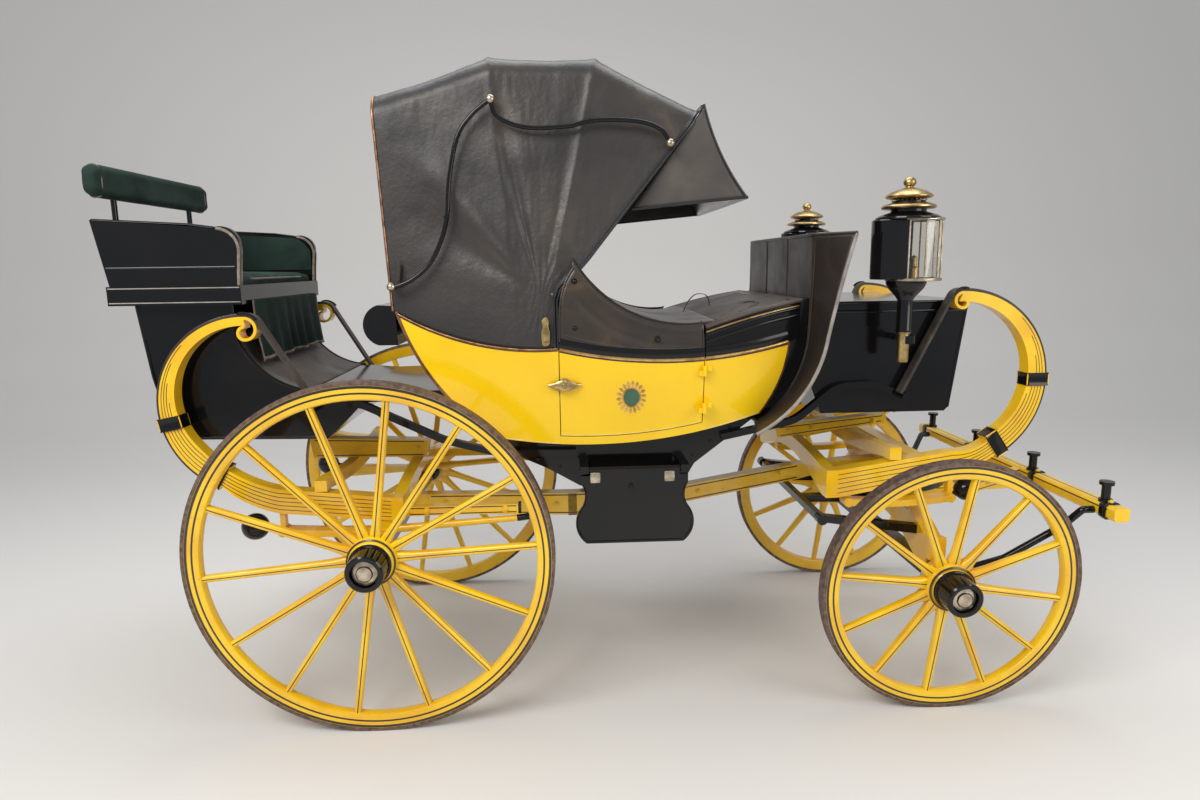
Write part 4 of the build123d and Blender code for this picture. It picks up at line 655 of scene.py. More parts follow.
for end, spec in SPRINGS.items():
    (cx, cz), radius, turn = spec["centre"], spec["radius"], spec["turn"]
    route = brace_path(spec)
    for side in (-1, 1):
        y = side * SPRING_Y
        for angle, pack in spec["clips"]:
            a = math.radians(angle)
            deep = (pack + STRAP + 8) / 2000 + 0.0006
            out, along = Vector((math.cos(a), 0, math.sin(a))), Vector((-math.sin(a), 0, math.cos(a)))
            reach = radius + STRAP + 4 - (pack + STRAP + 8) / 2
            middle = at(cx + reach * math.cos(a), y, cz + reach * math.sin(a))
            rows = []
            for t, lift in sleeve_line:
                rows.append([middle + along * t + out * (c * (deep + lift)) + LEFT * (s * (CLIP_HALF + lift))
                             for c, s in squared_circle(32, 0.22)])
            sleeve = sweep_mesh("sleeve", rows, closed_across=True)
            tidy(sleeve)
            clips.append(sleeve)
            for t in (-0.009, 0.009):
                spot = middle + along * t + out * (deep + 0.001)
                dome = [(0.0, 0.0052), (0.0035, 0.0048), (0.0055, 0.003), (0.0058, 0.0)]
                clips.append(lathe("bolt", dome, standing(spot, out), 14, closed=False))
        path = [at(x, y, z) for x, z, c, s in route]
        facing = [Vector((c, 0, s)) for x, z, c, s in route]
        ridges = [(0.0222, -0.001)]
        for k in range(24):
            v = 0.0222 - 0.0444 * (k + 0.5) / 24
            ridges.append((v, 0.0006 + 0.0013 * abs(math.sin(math.pi * (v / 0.0444 + 0.5) * 4)) ** 0.5))
        ridges.append((-0.0222, -0.001))
        covers.append(band("cover", path, facing, ridges))
        walked, need = 0.0, 0.004
        for i in range(1, len(path)):
            step = (path[i] - path[i - 1]).length
            while walked + step > need:
                t = (need - walked) / step
                spot = path[i - 1].lerp(path[i], t)
                out = facing[i - 1].lerp(facing[i], t).normalized()
                run = (path[i] - path[i - 1]).normalized()
                for v in (-0.0195, -0.0111, 0.0, 0.0111, 0.0195):
                    stitches.append((spot + Vector((0, v, 0)) + out * 0.0009, out, run))
                need += 0.0085
            walked += step
finish(joined("spring_clips", clips), coach_black)
finish(joined("brace_covers", covers), brace_leather)
finish(set_down("brace_stitches", stitch, stitches, thread), thread)
discard(stitch)

# Body.
# A boat-shaped body of thin panels bent over an ash frame, chrome yellow below a gloss black belt.
# Copper and gilt beads cover the panels' joints, and each door has two hinges and a cast brass handle.
def circle(first, middle, last):
    """The centre and radius of the circle through three points."""
    (ax, az), (bx, bz), (cx, cz) = first, middle, last
    a, b, c = ax * ax + az * az, bx * bx + bz * bz, cx * cx + cz * cz
    d = 2 * (ax * (bz - cz) + bx * (cz - az) + cx * (az - bz))
    ux = (a * (bz - cz) + b * (cz - az) + c * (az - bz)) / d
    uz = (a * (cx - bx) + b * (ax - cx) + c * (bx - ax)) / d
    return ux, uz, math.hypot(ax - ux, az - uz)


def arc(first, middle, last, count=24):
    """Points of a side view along the circle through three of them."""
    ux, uz, radius = circle(first, middle, last)
    start, mid, stop = (math.atan2(z - uz, x - ux) for x, z in (first, middle, last))
    turn = (stop - start) % (2 * math.pi)
    if (mid - start) % (2 * math.pi) > turn:
        turn -= 2 * math.pi
    return [(ux + radius * math.cos(start + turn * i / count),
             uz + radius * math.sin(start + turn * i / count)) for i in range(count + 1)]


BARREL = circle((482, 940), (548, 1240), (540, 1640))
SIDE_REACH = 2382


def half_width(x, z, inset=0):
    """Half the body's width, which swells along its length and from sill to belt."""
    w = BARREL[0] + math.sqrt(BARREL[2] ** 2 - (z - BARREL[1]) ** 2) - inset
    return math.sqrt((w + SIDE_REACH) ** 2 - (x - 800) ** 2) - SIDE_REACH


def on_side(points, side, inset=0, out=0):
    """Places on the body's side, and the way the panel faces there."""
    path, facing = [], []
    for x, z in points:
        path.append(at(x, side * (half_width(x, z, inset) + out), z))
        slope_x = half_width(x + 1, z) - half_width(x - 1, z)
        slope_z = half_width(x, z + 1) - half_width(x, z - 1)
        facing.append(Vector((-slope_x / 2, side, -slope_z / 2)).normalized())
    return path, facing


def between(points, low, high):
    """The part of a side view's curve from one x to another, cut exactly there."""
    cut = []
    for (x0, z0), (x1, z1) in zip(points, points[1:]):
        for limit in (low, high):
            if (x0 - limit) * (x1 - limit) < 0 and cut and limit == low:
                cut = []
            if (x0 - limit) * (x1 - limit) < 0:
                cut.append((limit, z0 + (z1 - z0) * (limit - x0) / (x1 - x0)))
        if low <= x1 <= high:
            cut.append((x1, z1))
    if low <= points[0][0] <= high:
        cut.insert(0, points[0])
    return cut


belt = arc((60, 1462), (330, 1346), (644, 1317), 30) + arc((644, 1317), (1000, 1272), (1500, 1334), 40)[1:]
gilt = metal("gilt_bead", (0.78, 0.50, 0.20, 1), (0.42, 0.24, 0.09, 1), 0.24, 30)
copper = metal("copper_bead", (0.36, 0.19, 0.11, 1), (0.15, 0.08, 0.05, 1), 0.34, 30)
straw = painted("straw_line", (0.86, 0.72, 0.30, 1), (0.70, 0.55, 0.18, 1), 0.35, 20)
body_yellow = painted("body_yellow_varnish", (0.92, 0.60, 0.006, 1), (0.86, 0.53, 0.006, 1), 0.20, 2.2,
                      dirt=(0.84, 0.51, 0.006, 1), coat=0.35, ripple=0.008, gleam=0.35)
for name in ("body_shell", "door_right", "door_left"):
    dress(name, body_yellow)
for name in ("body_well", "body_loops", "step_brackets", "step_flap_right", "step_flap_left", "front_boot",
             "rear_boot", "sword_case", "lamp_brackets", "hood_irons"):
    dress(name, coach_black)
sill = arc((410, 1003), (760, 972), (1361, 1066), 40)
rear_rim = arc((92, 1450), (222, 1192), (410, 1003), 24)
front_rim = arc((1361, 1066), (1412, 1150), (1457, 1323), 16)
EDGES = {"rear": (100, 643.5), "door": (648.5, 1146.5), "front": (1151.5, 1451)}


def side_trim(name, points, lift, side, profile, inset=0, out=0):
    """A bead or painted line on the body's side, above or below a line of the side view."""
    path, facing = on_side([(x, z + lift) for x, z in points], side, inset, out)
    return band(name, path, facing, profile)


BELT_LIFT, DECK = 22, ((1150, 1384), (1310, 1430), (1500, 1468))
belt_swell = [(0.0165, -0.001), (0.0160, 0.0022), (0.010, 0.0040), (0, 0.0046), (-0.010, 0.0040),
              (-0.0160, 0.0022), (-0.0165, -0.001)]
moulding = rounded(0.0052, 10, 0.7)
deck_mouldings = [(19, rounded(0.0032, 10), gilt), (27, moulding, coach_black), (52, moulding, coach_black)]
sill_stroke = flat(0.003, 0.0006)
for side_name, side in SIDES:
    for part, (x0, x1) in EDGES.items():
        body = f"door_{side_name}" if part == "door" else "carriage"
        line = between(belt, x0, x1)
        bead, metal_of_bead, lift = rounded(0.0058, 14, 0.8), gilt, 1.5
        stroke, drop = flat(0.005), -6.5
        if part == "rear":
            bead, metal_of_bead, lift = rounded(0.0042), copper, 2
            stroke, drop = flat(0.003), -4.5
        piece = side_trim(f"belt_bead_{part}_{side_name}", line, lift, side, bead, out=1)
        finish(piece, metal_of_bead, body)
        piece = side_trim(f"belt_line_{part}_{side_name}", line, drop, side, stroke)
        finish(piece, lining_black, body)
        if part != "rear":
            inset = 3 if part == "front" else 0
            piece = side_trim(f"belt_band_{part}_{side_name}", line, BELT_LIFT, side, belt_swell, inset)
            finish(piece, coach_black, body)
    deck_line = between(arc(*DECK, 16), 1152, 1490)
    for drop, profile, material in deck_mouldings:
        piece = side_trim(f"deck_mould_{drop}_{side_name}", deck_line, -drop, side, profile, 4, 0.5)
        finish(piece, material)
    rims = []
    for curve, wide in ((rear_rim, 0.010), (front_rim, 0.006)):
        path, facing = on_side(curve, side)
        inward = [(at(800, 0, 1230) - p).normalized() for p in path]
        path = [p + Vector((n.x, 0, n.z)).normalized() * (wide / 2 - 0.002) for p, n in zip(path, inward)]
        rims.append(band("rim", path, facing, flat(wide, 0.0030)))
    finish(joined(f"body_rims_{side_name}", rims), copper)
    for part, (x0, x1) in (("rear", (420, 643)), ("front", (1152, 1350))):
        piece = side_trim(f"sill_line_{part}_{side_name}", between(sill, x0, x1), 4, side, sill_stroke)
        finish(piece, straw)
    piece = side_trim(f"door_line_{side_name}", between(sill, 651, 1145), 35.5, side, flat(0.0025, 0.0005))
    finish(piece, straw, f"door_{side_name}")

    # Brass handle: a cast lozenge with scalloped edges on a turned boss, fixed to the door's rear edge.
    boss, out = on_side([(664, 1196)], side)
    boss, out = boss[0], out[0]
    rows = []
    for i in range(33):
        t = -1 + 2 * i / 32
        half = 0.0035 + 0.0145 * math.cos(t * math.pi / 2) ** 1.5
        half += 0.0022 * abs(math.sin(t * math.pi * 4.5)) * (1 - t * t)
        lift = 0.007 + 0.010 * (1 - t * t)
        ring = []
        for k in range(20):
            a = 2 * math.pi * k / 20
            scallop = 1 + 0.06 * math.cos(a * 5 + t * 9)
            ring.append(boss + AHEAD * (t * 0.058) + UP * (half * math.cos(a) * scallop)
                        + out * (lift + 0.0055 * math.sin(a) * (1 - 0.4 * t * t)))
        rows.append(ring)
    close_ends(rows)
    grip = sweep_mesh("grip", rows, closed_across=True)
    tidy(grip)
    facing = standing(boss, out)
    stem = lathe("stem", [(0.0, 0.028), (0.006, 0.027), (0.009, 0.0235), (0.007, 0.020), (0.0085, 0.014),
                          (0.0085, 0.006), (0.016, 0.0045), (0.021, 0.0025), (0.022, 0.0)],
                 facing, 32, closed=False)
    finish(joined(f"door_handle_{side_name}", [grip, stem]), brass, f"door_{side_name}")

    # Painted ornament: a plain green oval in a ring of gilt leaves.
    spot, out = on_side([(894, 1145)], side)
    spot, out = spot[0], out[0]
    along = UP.cross(out).normalized()
    turn_to = Matrix((along, out.cross(along), out)).transposed().to_4x4()
    oval = Matrix.Translation(spot + out * 0.0004) @ turn_to @ Matrix.Diagonal((1.0, 1.15, 1.0, 1.0))
    leaf = sweep_mesh("leaf", [[(0.0345 + r, s * w, 0.0006 * (1 - s * s)) for s in (-1, -0.5, 0, 0.5, 1)]
                               for r, w in ((0, 0.0006), (0.004, 0.0042), (0.009, 0.0052), (0.014, 0.0036),
                                            (0.0185, 0.0004))])
    leaves = set_round(f"ornament_leaves_{side_name}", leaf, 18, 0.1, gilt, oval)
    discard(leaf)
    green_oval = lathe(f"ornament_oval_{side_name}", [
        (0.0, 0.0007), (0.024, 0.0007), (0.0275, 0.0004), (0.028, -0.001)], oval, 48, closed=False)
    gold_ring = lathe(f"ornament_ring_{side_name}", [
        (0.0335, -0.001), (0.033, 0.0009), (0.029, 0.0010), (0.0283, -0.001)], oval, 48, closed=False)
    finish(leaves, gilt, f"door_{side_name}")
    finish(gold_ring, gilt, f"door_{side_name}")
    finish(green_oval, painted(f"ornament_green_{side_name}", (0.02, 0.10, 0.05, 1), (0.012, 0.06, 0.03, 1),
                               0.3, 30), f"door_{side_name}")

# Steps and well.
# Under each door a scalloped leather-covered flap hangs on a rod below the black foot well.
# Two bright square hinges and a knob stand on its face.
STEP_FACE_Y, WELL_FACE_Y, HINGE_Z = 514.3, 414.3, 856
knob_line = [(0.0, 0.017), (0.006, 0.016), (0.0085, 0.0125), (0.007, 0.009), (0.0045, 0.007), (0.005, 0.003),
             (0.010, 0.002), (0.011, 0.0)]
for side_name, side in SIDES:
    out = LEFT * side
    face = side * STEP_FACE_Y
    plates = []
    for x in (765, 1029):
        ring = [at(x + dx, face, HINGE_Z + dz) for dx, dz in
                ((-17, -18), (0, -19), (17, -18), (18, 0), (17, 18), (0, 19), (-17, 18), (-18, 0))]
        middle = sum(ring, Vector()) / 8
        rows = [ring, [p + out * 0.003 for p in ring],
                [middle + (p - middle) * 0.86 + out * 0.0045 for p in ring], [middle + out * 0.0047] * 8]
        plate = sweep_mesh("plate", rows, closed_across=True)
        tidy(plate)
        plates.append(plate)
        for dx, dz in ((-10, -10), (10, -10), (10, 10), (-10, 10)):
            spot = standing(at(x + dx, face, HINGE_Z + dz) + out * 0.004, out)
            plates.append(lathe("screw", [(0.0, 0.0016), (0.002, 0.0014), (0.0032, 0.0)], spot, 10,
                                closed=False))
    finish(joined(f"step_hinges_{side_name}", plates), bright_cap, f"step_{side_name}")
    spot = standing(at(892, face, 822), out)
    knob = lathe(f"step_knob_{side_name}", knob_line, spot, 28, closed=False)
    finish(knob, coach_black, f"step_{side_name}")
    edge = [(716, 830), (728, 790), (714, 745), (694, 690), (732, 615), (1080, 615), (1118, 690), (1098, 745),
            (1084, 790), (1096, 830)]
    smooth_edge = arc(edge[0], edge[1], edge[2], 8) + arc(edge[2], edge[3], edge[4], 14)[1:]
    smooth_edge += [(732 + 348 * i / 12, 615) for i in range(1, 12)] + arc(edge[5], edge[6], edge[7], 14)
    smooth_edge += arc(edge[7], edge[8], edge[9], 8)[1:]
    path = [at(906 + (x - 906) * 0.972, face, 745 + (z - 745) * 0.965) for x, z in smooth_edge]
    finish(band(f"step_welt_{side_name}", path, out, rounded(0.0032, 8)), coach_black,
           f"step_{side_name}")
    studs = []
    dome = turned_piece("dome", [(0.0, 0.0045), (0.0035, 0.004), (0.006, 0.002), (0.0068, 0.0)], 14)
    for i in range(9):
        t = i / 8
        studs.append((at(722 + 356 * t, side * WELL_FACE_Y, 838), out, AHEAD))
    for x, z in ((1130, 905), (1195, 955), (1265, 1005), (640, 875), (560, 905), (480, 935)):
        studs.append((at(x, side * WELL_FACE_Y, z), out, AHEAD))
    finish(set_down(f"well_studs_{side_name}", dome, studs, coach_black), coach_black)
    discard(dome)

# Hood.
# One hide of worn black leather strained over four hooped bows, which fold down about a joint above the door.
# It is nailed along the belt under a copper bead, and its front edge is bound with a double black cord.
BOWS = [((89, 1290), (44, 2166), 470, 452), ((520, 1290), (431, 2286), 536, 470),
        ((575, 1290), (789, 2280), 545, 474), ((650, 1290), (1149, 2108), 551, 474)]
BOW_CORNER, BOW_CROWN = 85, 26
FRONT_EDGE = [(1149, 2108), (741, 1601), (645, 1504), (645, 1250)]
JOINT = (590, 1490)
hood_leather = leather("hood_leather", (0.044, 0.038, 0.034, 1), (0.019, 0.018, 0.019, 1),
                       (0.100, 0.078, 0.056, 1), 0.38, 3.4, 620, 0.35, 0.2)
patent = leather("patent_leather", (0.020, 0.019, 0.021, 1), (0.010, 0.010, 0.012, 1),
                 (0.035, 0.030, 0.028, 1), 0.20, 5, 700, 0.10, 0.7)


def show_outside(piece, way):
    """Turns a sheet's faces over if most of them look against the way given."""
    if sum(face.normal.dot(way) * face.area for face in piece.data.polygons) < 0:
        piece.data.flip_normals()


def thicken(piece, depth, offset=-1):
    """Gives a sheet its thickness, inwards unless told otherwise."""
    thickness = piece.modifiers.new("thickness", "SOLIDIFY")
    thickness.thickness = depth
    thickness.offset = offset
    return thickness


def across_path(path, way):
    """The way that lies square to a path and to one direction, at each of its points."""
    last = len(path) - 1
    runs = [(path[min(i + 1, last)] - path[max(i - 1, 0)]).normalized() for i in range(last + 1)]
    return [run.cross(way).normalized() for run in runs]


def bow_half(bow, n_side=26, n_corner=8, n_crown=14):
    """One bow from its foot to the middle of the roof, as half width and a share of its slant."""
    (fx, fz), (tx, tz), foot, top = bow
    length = math.hypot(tx - fx, tz - fz)
    points = []
    for i in range(n_side):
        t = i / n_side
        points.append((foot + (top - foot) * t, (length - BOW_CORNER) * t))
    for i in range(n_corner):
        a = math.pi / 2 * i / n_corner
        points.append((top - BOW_CORNER + BOW_CORNER * math.cos(a),
                       length - BOW_CORNER + BOW_CORNER * math.sin(a)))
    flat_half = top - BOW_CORNER
    for i in range(n_crown + 1):
        v = flat_half * (1 - i / n_crown)
        points.append((v, length + BOW_CROWN * (1 - (v / flat_half) ** 2)))
    return [(fx + (tx - fx) * u / length, v, fz + (tz - fz) * u / length) for v, u in points]


halves = [bow_half(bow) for bow in BOWS]


def z_on(line, x):
    """The height of a side view's line at one x."""
    for (x0, z0), (x1, z1) in zip(line, line[1:]):
        if x0 <= x <= x1:
            return z0 + (z1 - z0) * (x - x0) / (x1 - x0)
    return line[0][1] if x < line[0][0] else line[-1][1]


def front_x(z):
    """How far forward the hood's front edge lies at one height."""
    for (x0, z0), (x1, z1) in zip(FRONT_EDGE, FRONT_EDGE[1:]):
        if z1 <= z <= z0:
            return x1 + (x0 - x1) * (z - z1) / (z0 - z1) if z0 > z1 else x1
    return 1e9 if z > FRONT_EDGE[0][1] else FRONT_EDGE[-1][0]


def on_hood(s, j):
    """A point of the strained leather: s counts the bows, j runs along them from foot to crown."""
    k = min(int(s), 2)
    i = min(int(j), len(halves[0]) - 2)
    f, g = s - k, j - i
    corners = [Vector(halves[a][b]) for a in (k, k + 1) for b in (i, i + 1)]
    return corners[0].lerp(corners[1], g).lerp(corners[2].lerp(corners[3], g), f)


def hood_column(c, steps):
    """A column of the hide from belt to crown; the last third of the columns lean with the front edge."""
    last = len(halves[0]) - 1

    def reach(j):
        """The column's point at one step of the bows, held behind the front edge."""
        if c <= 2:
            return on_hood(c, j)
        low, high = 2.0, 3.0
        edge = on_hood(3.0, j)
        if edge.x > front_x(edge.z):
            for _ in range(22):
                s = (low + high) / 2
                p = on_hood(s, j)
                low, high = (s, high) if p.x < front_x(p.z) else (low, s)
        return on_hood(2 + (c - 2) * (high - 2), j)

    low, high = 0.0, 24.0
    for _ in range(24):
        j = (low + high) / 2
        p = reach(j)
        low, high = (j, high) if p.z < z_on(belt, p.x) + 1 else (low, j)
    return [reach(low + (last - low) * i / steps) for i in range(steps + 1)]


def fold_depth(x, z):
    """How far the hide sinks or swells on the side, in folds that fan out from the bows' joint."""
    dx, dz = x - JOINT[0], z - JOINT[1]
    r, a = math.hypot(dx, dz), math.degrees(math.atan2(dz, dx)) % 360
    if a > 270:
        a -= 360
    fan = 0
    for place, wide, deep in ((102, 3.4, -13), (114, 9, -3), (129, 6, 9), (146, 9, -8), (78, 3.2, -4)):
        fan += deep * math.exp(-((a - place) / wide) ** 2)
    grow_in = min(max((r - 40) / 170, 0), 1)
    fade = 1 - min(max((r - 420) / 330, 0), 1)
    gather = 1.2 * math.sin(a * 0.42) * math.exp(-((r - 70) / 60) ** 2)
    return fan * grow_in ** 1.3 * fade ** 0.8 + gather


COLUMNS, STEPS = 132, 120
stations = sorted(set([3.0 * i / COLUMNS for i in range(COLUMNS + 1)] + [1.0, 2.0]))
columns = [hood_column(c, STEPS) for c in stations]
rows = []
for column in columns:
    rows.append([at(x, -v, z) for x, v, z in column] + [at(x, v, z) for x, v, z in reversed(column[:-1])])
hood = sweep_mesh("hood", rows)
with opened(hood) as shape:
    shape.normal_update()
    if sum((f.normal.z for f in shape.faces if f.calc_center_median().z > 2.1)) < 0:
        bmesh.ops.reverse_faces(shape, faces=shape.faces)
        shape.normal_update()
    width = 2 * STEPS + 1
    moves = []
    for index, vert in enumerate(shape.verts):
        c, j = stations[index // width], index % width
        x, y, z = (vert.co.x + MIDDLE) * 1000, vert.co.y * 1000, vert.co.z * 1000
        rise = min(j, 2 * STEPS - j) / STEPS
        between_bows = math.sin(math.pi * (c - int(c))) if c < 3 else 0
        side_share = min(max((abs(y) - 330) / 110, 0), 1)
        edge_hold = min(1, rise * 9) * min(1, c * 12) * min(1, (3 - c) * 9)
        sag = -(9 - 5 * side_share) * between_bows ** 1.2 * min(1, rise * 3)
        ridge = 2.2 * sum(math.exp(-((c - k) / 0.035) ** 2) for k in (1, 2)) * min(1, rise * 2)
        slack = 5.0 * noise.noise(Vector((x, y, z)) / 170) + 2.0 * noise.noise(Vector((x, y, z)) / 60)
        lines_in = 0.9 * noise.noise(Vector((x / 14, y / 60, z / 60)))
        move = sag + ridge + (fold_depth(x, z) * side_share + slack * 0.6 + lines_in) * edge_hold
        moves.append(vert.normal * min(move, 7) / 1000)
    for vert, move in zip(shape.verts, moves):
        vert.co += move
hood.data.shade_smooth()
thicken(hood, 0.005)
finish(hood, hood_leather)
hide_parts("hood")

edges = []
for column, way in ((rows[0], -1), (rows[-1], 1)):
    path = [Vector(p) for p in column[::3]]
    edges.append((path, across_path(path, Vector((way, 0, 0.2)))))
path, facing = edges[0]
finish(band("hood_rear_welt", path, facing, rounded(0.0042, 10)), copper)
path, facing = edges[1]
cords = []
for shift in (-0.0005, -0.0105):
    cords.append(band("cord", [p + Vector((shift, 0, -shift * 0.3)) for p in path], facing,
                      rounded(0.0050, 10)))
finish(joined("hood_front_cords", cords), patent)

# The back of the hood, laced into the last bow.
(fx, fz), (tx, tz), foot, top = BOWS[0]
slant = math.hypot(tx - fx, tz - fz)
rows = []
climb = [0.197 + 0.803 * i / 20 for i in range(20)]
profile = [(foot + (top - foot) * t, (slant - BOW_CORNER) * t) for t in climb]
profile += [(top - BOW_CORNER + BOW_CORNER * math.cos(a), slant - BOW_CORNER + BOW_CORNER * math.sin(a))
            for a in [math.pi / 2 * i / 8 for i in range(8)]]
flat_half = top - BOW_CORNER
profile += [(flat_half * (1 - i / 14), slant + BOW_CROWN * (1 - (1 - i / 14) ** 2)) for i in range(15)]
outline = profile + [(-v, u) for v, u in reversed(profile[:-1])]
centre = (0, slant * 0.56)
for k in range(27):
    share = k / 26
    ring = []
    for v, u in outline + [(v, outline[0][1]) for v in (-300, -150, 0, 150, 300)]:
        vv, uu = centre[0] + (v - centre[0]) * share, centre[1] + (u - centre[1]) * share
        x = fx + (tx - fx) * uu / slant
        z = fz + (tz - fz) * uu / slant
        belly = 7 * (1 - share ** 2) + 5 * noise.noise(Vector((vv / 210, uu / 160, 3.1))) * (1 - share ** 3)
        belly -= 3.0 * math.exp(-(vv / 9) ** 2) * (1 - share ** 4)
        ring.append(at(x + 2 - belly * 0.8, vv, z))
    rows.append(ring)
back = sweep_mesh("hood_back", rows, closed_across=True)
tidy(back, angle=80)
show_outside(back, -AHEAD)
thicken(back, 0.004)
finish(back, hood_leather)

# Visor: a stiffened flap on the foremost bow, its lower edge cut in a hollow curve and lined in black.
VISOR_HALF = 466
(top_x, top_z), (low_x, low_z) = (1149, 2108), (905, 1783)
hollow = arc((1149, 2122), (1197, 1985), (1299, 1819), 22)
cheek_rows = []
for i, (rim_x, rim_z) in enumerate(hollow):
    t = i / 22
    root_x = low_x + (top_x - low_x) * (1 - t)
    root_z = low_z + (top_z - low_z) * (1 - t)
    row = []
    for k in range(17):
        u = k / 16
        y = -VISOR_HALF - 3 * math.sin(math.pi * u) * math.sin(math.pi * t)
        row.append(at(root_x + (rim_x - root_x) * u, y, root_z + (rim_z - root_z) * u))
    cheek_rows.append(row)
cheeks = []
for side in (-1, 1):
    cheeks.append(sweep_mesh("cheek", [[Vector((p.x, -side * p.y, p.z)) for p in row] for row in cheek_rows]))
front = []
for x, z in hollow:
    row = []
    for k in range(41):
        u = -1 + 2 * k / 40
        row.append(at(x + 5 * (1 - u * u), VISOR_HALF * u, z + 9 * (1 - u ** 2) * ((z - 1819) / 303)))
    front.append(row)
cheeks.append(sweep_mesh("front", front))
visor = joined("visor", cheeks)
with opened(visor) as shape:
    bmesh.ops.remove_doubles(shape, verts=shape.verts, dist=0.0006)
    bmesh.ops.recalc_face_normals(shape, faces=shape.faces)
    shape.normal_update()
    middle_face = max(shape.faces, key=lambda f: f.calc_center_median().x)
    if middle_face.normal.x < 0:
        bmesh.ops.reverse_faces(shape, faces=shape.faces)
visor.data.shade_smooth()
thicken(visor, 0.006)
visor_leather = leather("visor_leather", (0.085, 0.073, 0.064, 1), (0.055, 0.048, 0.044, 1),
                        (0.11, 0.095, 0.082, 1), 0.46, 6, 620, 0.12, 0.1)
finish(visor, visor_leather)
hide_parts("visor")

# Seats inside the body.
# Buttoned squabs of dark leather over horsehair, on a boarded seat across the back of the body.
# Only the fold of the hood and the apron's opening show them.
def cushion(name, low, high, bend, crown=0.0, pull=0.0, cuts=36, dimples=(), depth=0.0, spread=40.0):
    """A stuffed pad between two corners: crowned on top, drawn in at its sides and buttoned."""
    shape = bmesh.new()
    bmesh.ops.create_cube(shape, size=2)
    bmesh.ops.subdivide_edges(shape, edges=shape.edges, cuts=cuts, use_grid_fill=True)
    half = [(b - a) / 2 for a, b in zip(low, high)]
    middle = [(a + b) / 2 for a, b in zip(low, high)]
    for vert in shape.verts:
        p = [vert.co[i] * half[i] for i in range(3)]
        core = [min(max(p[i], -(half[i] - bend)), half[i] - bend) for i in range(3)]
        off = Vector([p[i] - core[i] for i in range(3)])
        q = Vector(core) + (off.normalized() * bend if off.length > 0 else off)
        sx, sy, sz = (q[i] / half[i] for i in range(3))
        q.x -= pull * sx * (1 - sy * sy) * (0.4 + 0.6 * (1 - sz * sz))
        q.y -= pull * sy * (1 - sx * sx) * (0.4 + 0.6 * (1 - sz * sz))
        if sz > 0:
            q.z += crown * sz * (1 - sx * sx) * (1 - sy * sy)
        for bx, by in dimples:
            near = math.exp(-(((q.x + middle[0] - bx) / spread) ** 2
                              + ((q.y + middle[1] - by) / spread) ** 2))
            q.z -= depth * near * max(sz, 0)
        vert.co = at(middle[0] + q.x, middle[1] + q.y, middle[2] + q.z)
    mesh = bpy.data.meshes.new(name)
    shape.to_mesh(mesh)
    shape.free()
    mesh.shade_smooth()
    piece = bpy.data.objects.new(name, mesh)
    bpy.context.collection.objects.link(piece)
    return piece


squab_leather = leather("squab_leather", (0.060, 0.036, 0.024, 1), (0.030, 0.020, 0.015, 1),
                        (0.10, 0.065, 0.042, 1), 0.42, 7, 700, 0.2, 0.15)
buttons = [(200 + 100 * i, -330 + 110 * k + (55 if i % 2 else 0)) for i in range(4) for k in range(7)]
seat = cushion("seat_cushion", (206, -424, 1240), (626, 424, 1338), 34, 10, 5, 40,
               [b for b in buttons if abs(b[1]) < 400 and b[0] > 250], 12, 26)
finish(seat, squab_leather)
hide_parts("inner_seat")
box = cushion("seat_box", (430, -400, 1030), (606, 400, 1238), 10, 0, 0, 10)
finish(box, squab_leather)
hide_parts("inner_seat")
squab = cushion("seat_back", (0, -424, 0), (470, 424, 84), 30, 8, 4, 44,
                [(90 + 95 * i, -330 + 110 * k + (55 if i % 2 else 0)) for i in range(4) for k in range(7)
                 if abs(-330 + 110 * k + (55 if i % 2 else 0)) < 400], 12, 26)
lean = Matrix.Rotation(math.radians(93.4), 4, "Y")
squab.data.transform(Matrix.Translation(at(124, 0, 1822)) @ lean @ Matrix.Translation(-at(0, 0, 0)))
finish(squab, squab_leather)
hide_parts("inner_seat")

# Apron and door flaps.
# A brown-black leather apron covers the passengers' knees, and its sides roll down over each door.
# Three black buttons hold each side, and a soft hollow runs under the roll.
apron_leather = leather("apron_leather", (0.044, 0.031, 0.022, 1), (0.018, 0.015, 0.014, 1),
                        (0.14, 0.085, 0.045, 1), 0.36, 3.6, 560, 0.30, 0.25)
apron_line = arc((705, 1616), (838, 1472), (1190, 1404), 48)
crease_line = arc((700, 1604), (835, 1456), (1142, 1384), 48)


def seam_stitch(half):
    """One stitch of thread, arched over the leather."""
    path = [Vector((-half, 0, -0.0004)), Vector((0, 0, 0.0008)), Vector((half, 0, -0.0004))]
    return band("seam_stitch", path, UP, rounded(0.0007, 5))


def smooth(t):
    """A soft step from 0 to 1."""
    t = min(max(t, 0), 1)
    return t * t * (3 - 2 * t)


rows = []
for i, (x, z) in enumerate(apron_line):
    slope_x, slope_z = (apron_line[min(i + 1, 48)][k] - apron_line[max(i - 1, 0)][k] for k in (0, 1))
    length = math.hypot(slope_x, slope_z)
    nx, nz = -slope_z / length, slope_x / length
    row = []
    for k in range(65):
        y = -500 + 1000 * k / 64
        lift = 5 * (1 - (y / 500) ** 2) + 2.5 * noise.noise(Vector((x / 120, y / 150, 0.4))) - 1.5
        lift -= 9 * smooth((abs(y) - 478) / 22)
        row.append(at(x + nx * lift, y, z + nz * lift))
    rows.append(row)
apron = sweep_mesh("knee_apron", rows)
show_outside(apron, UP)
thicken(apron, 0.006)
finish(apron, apron_leather)
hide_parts("knee_apron")

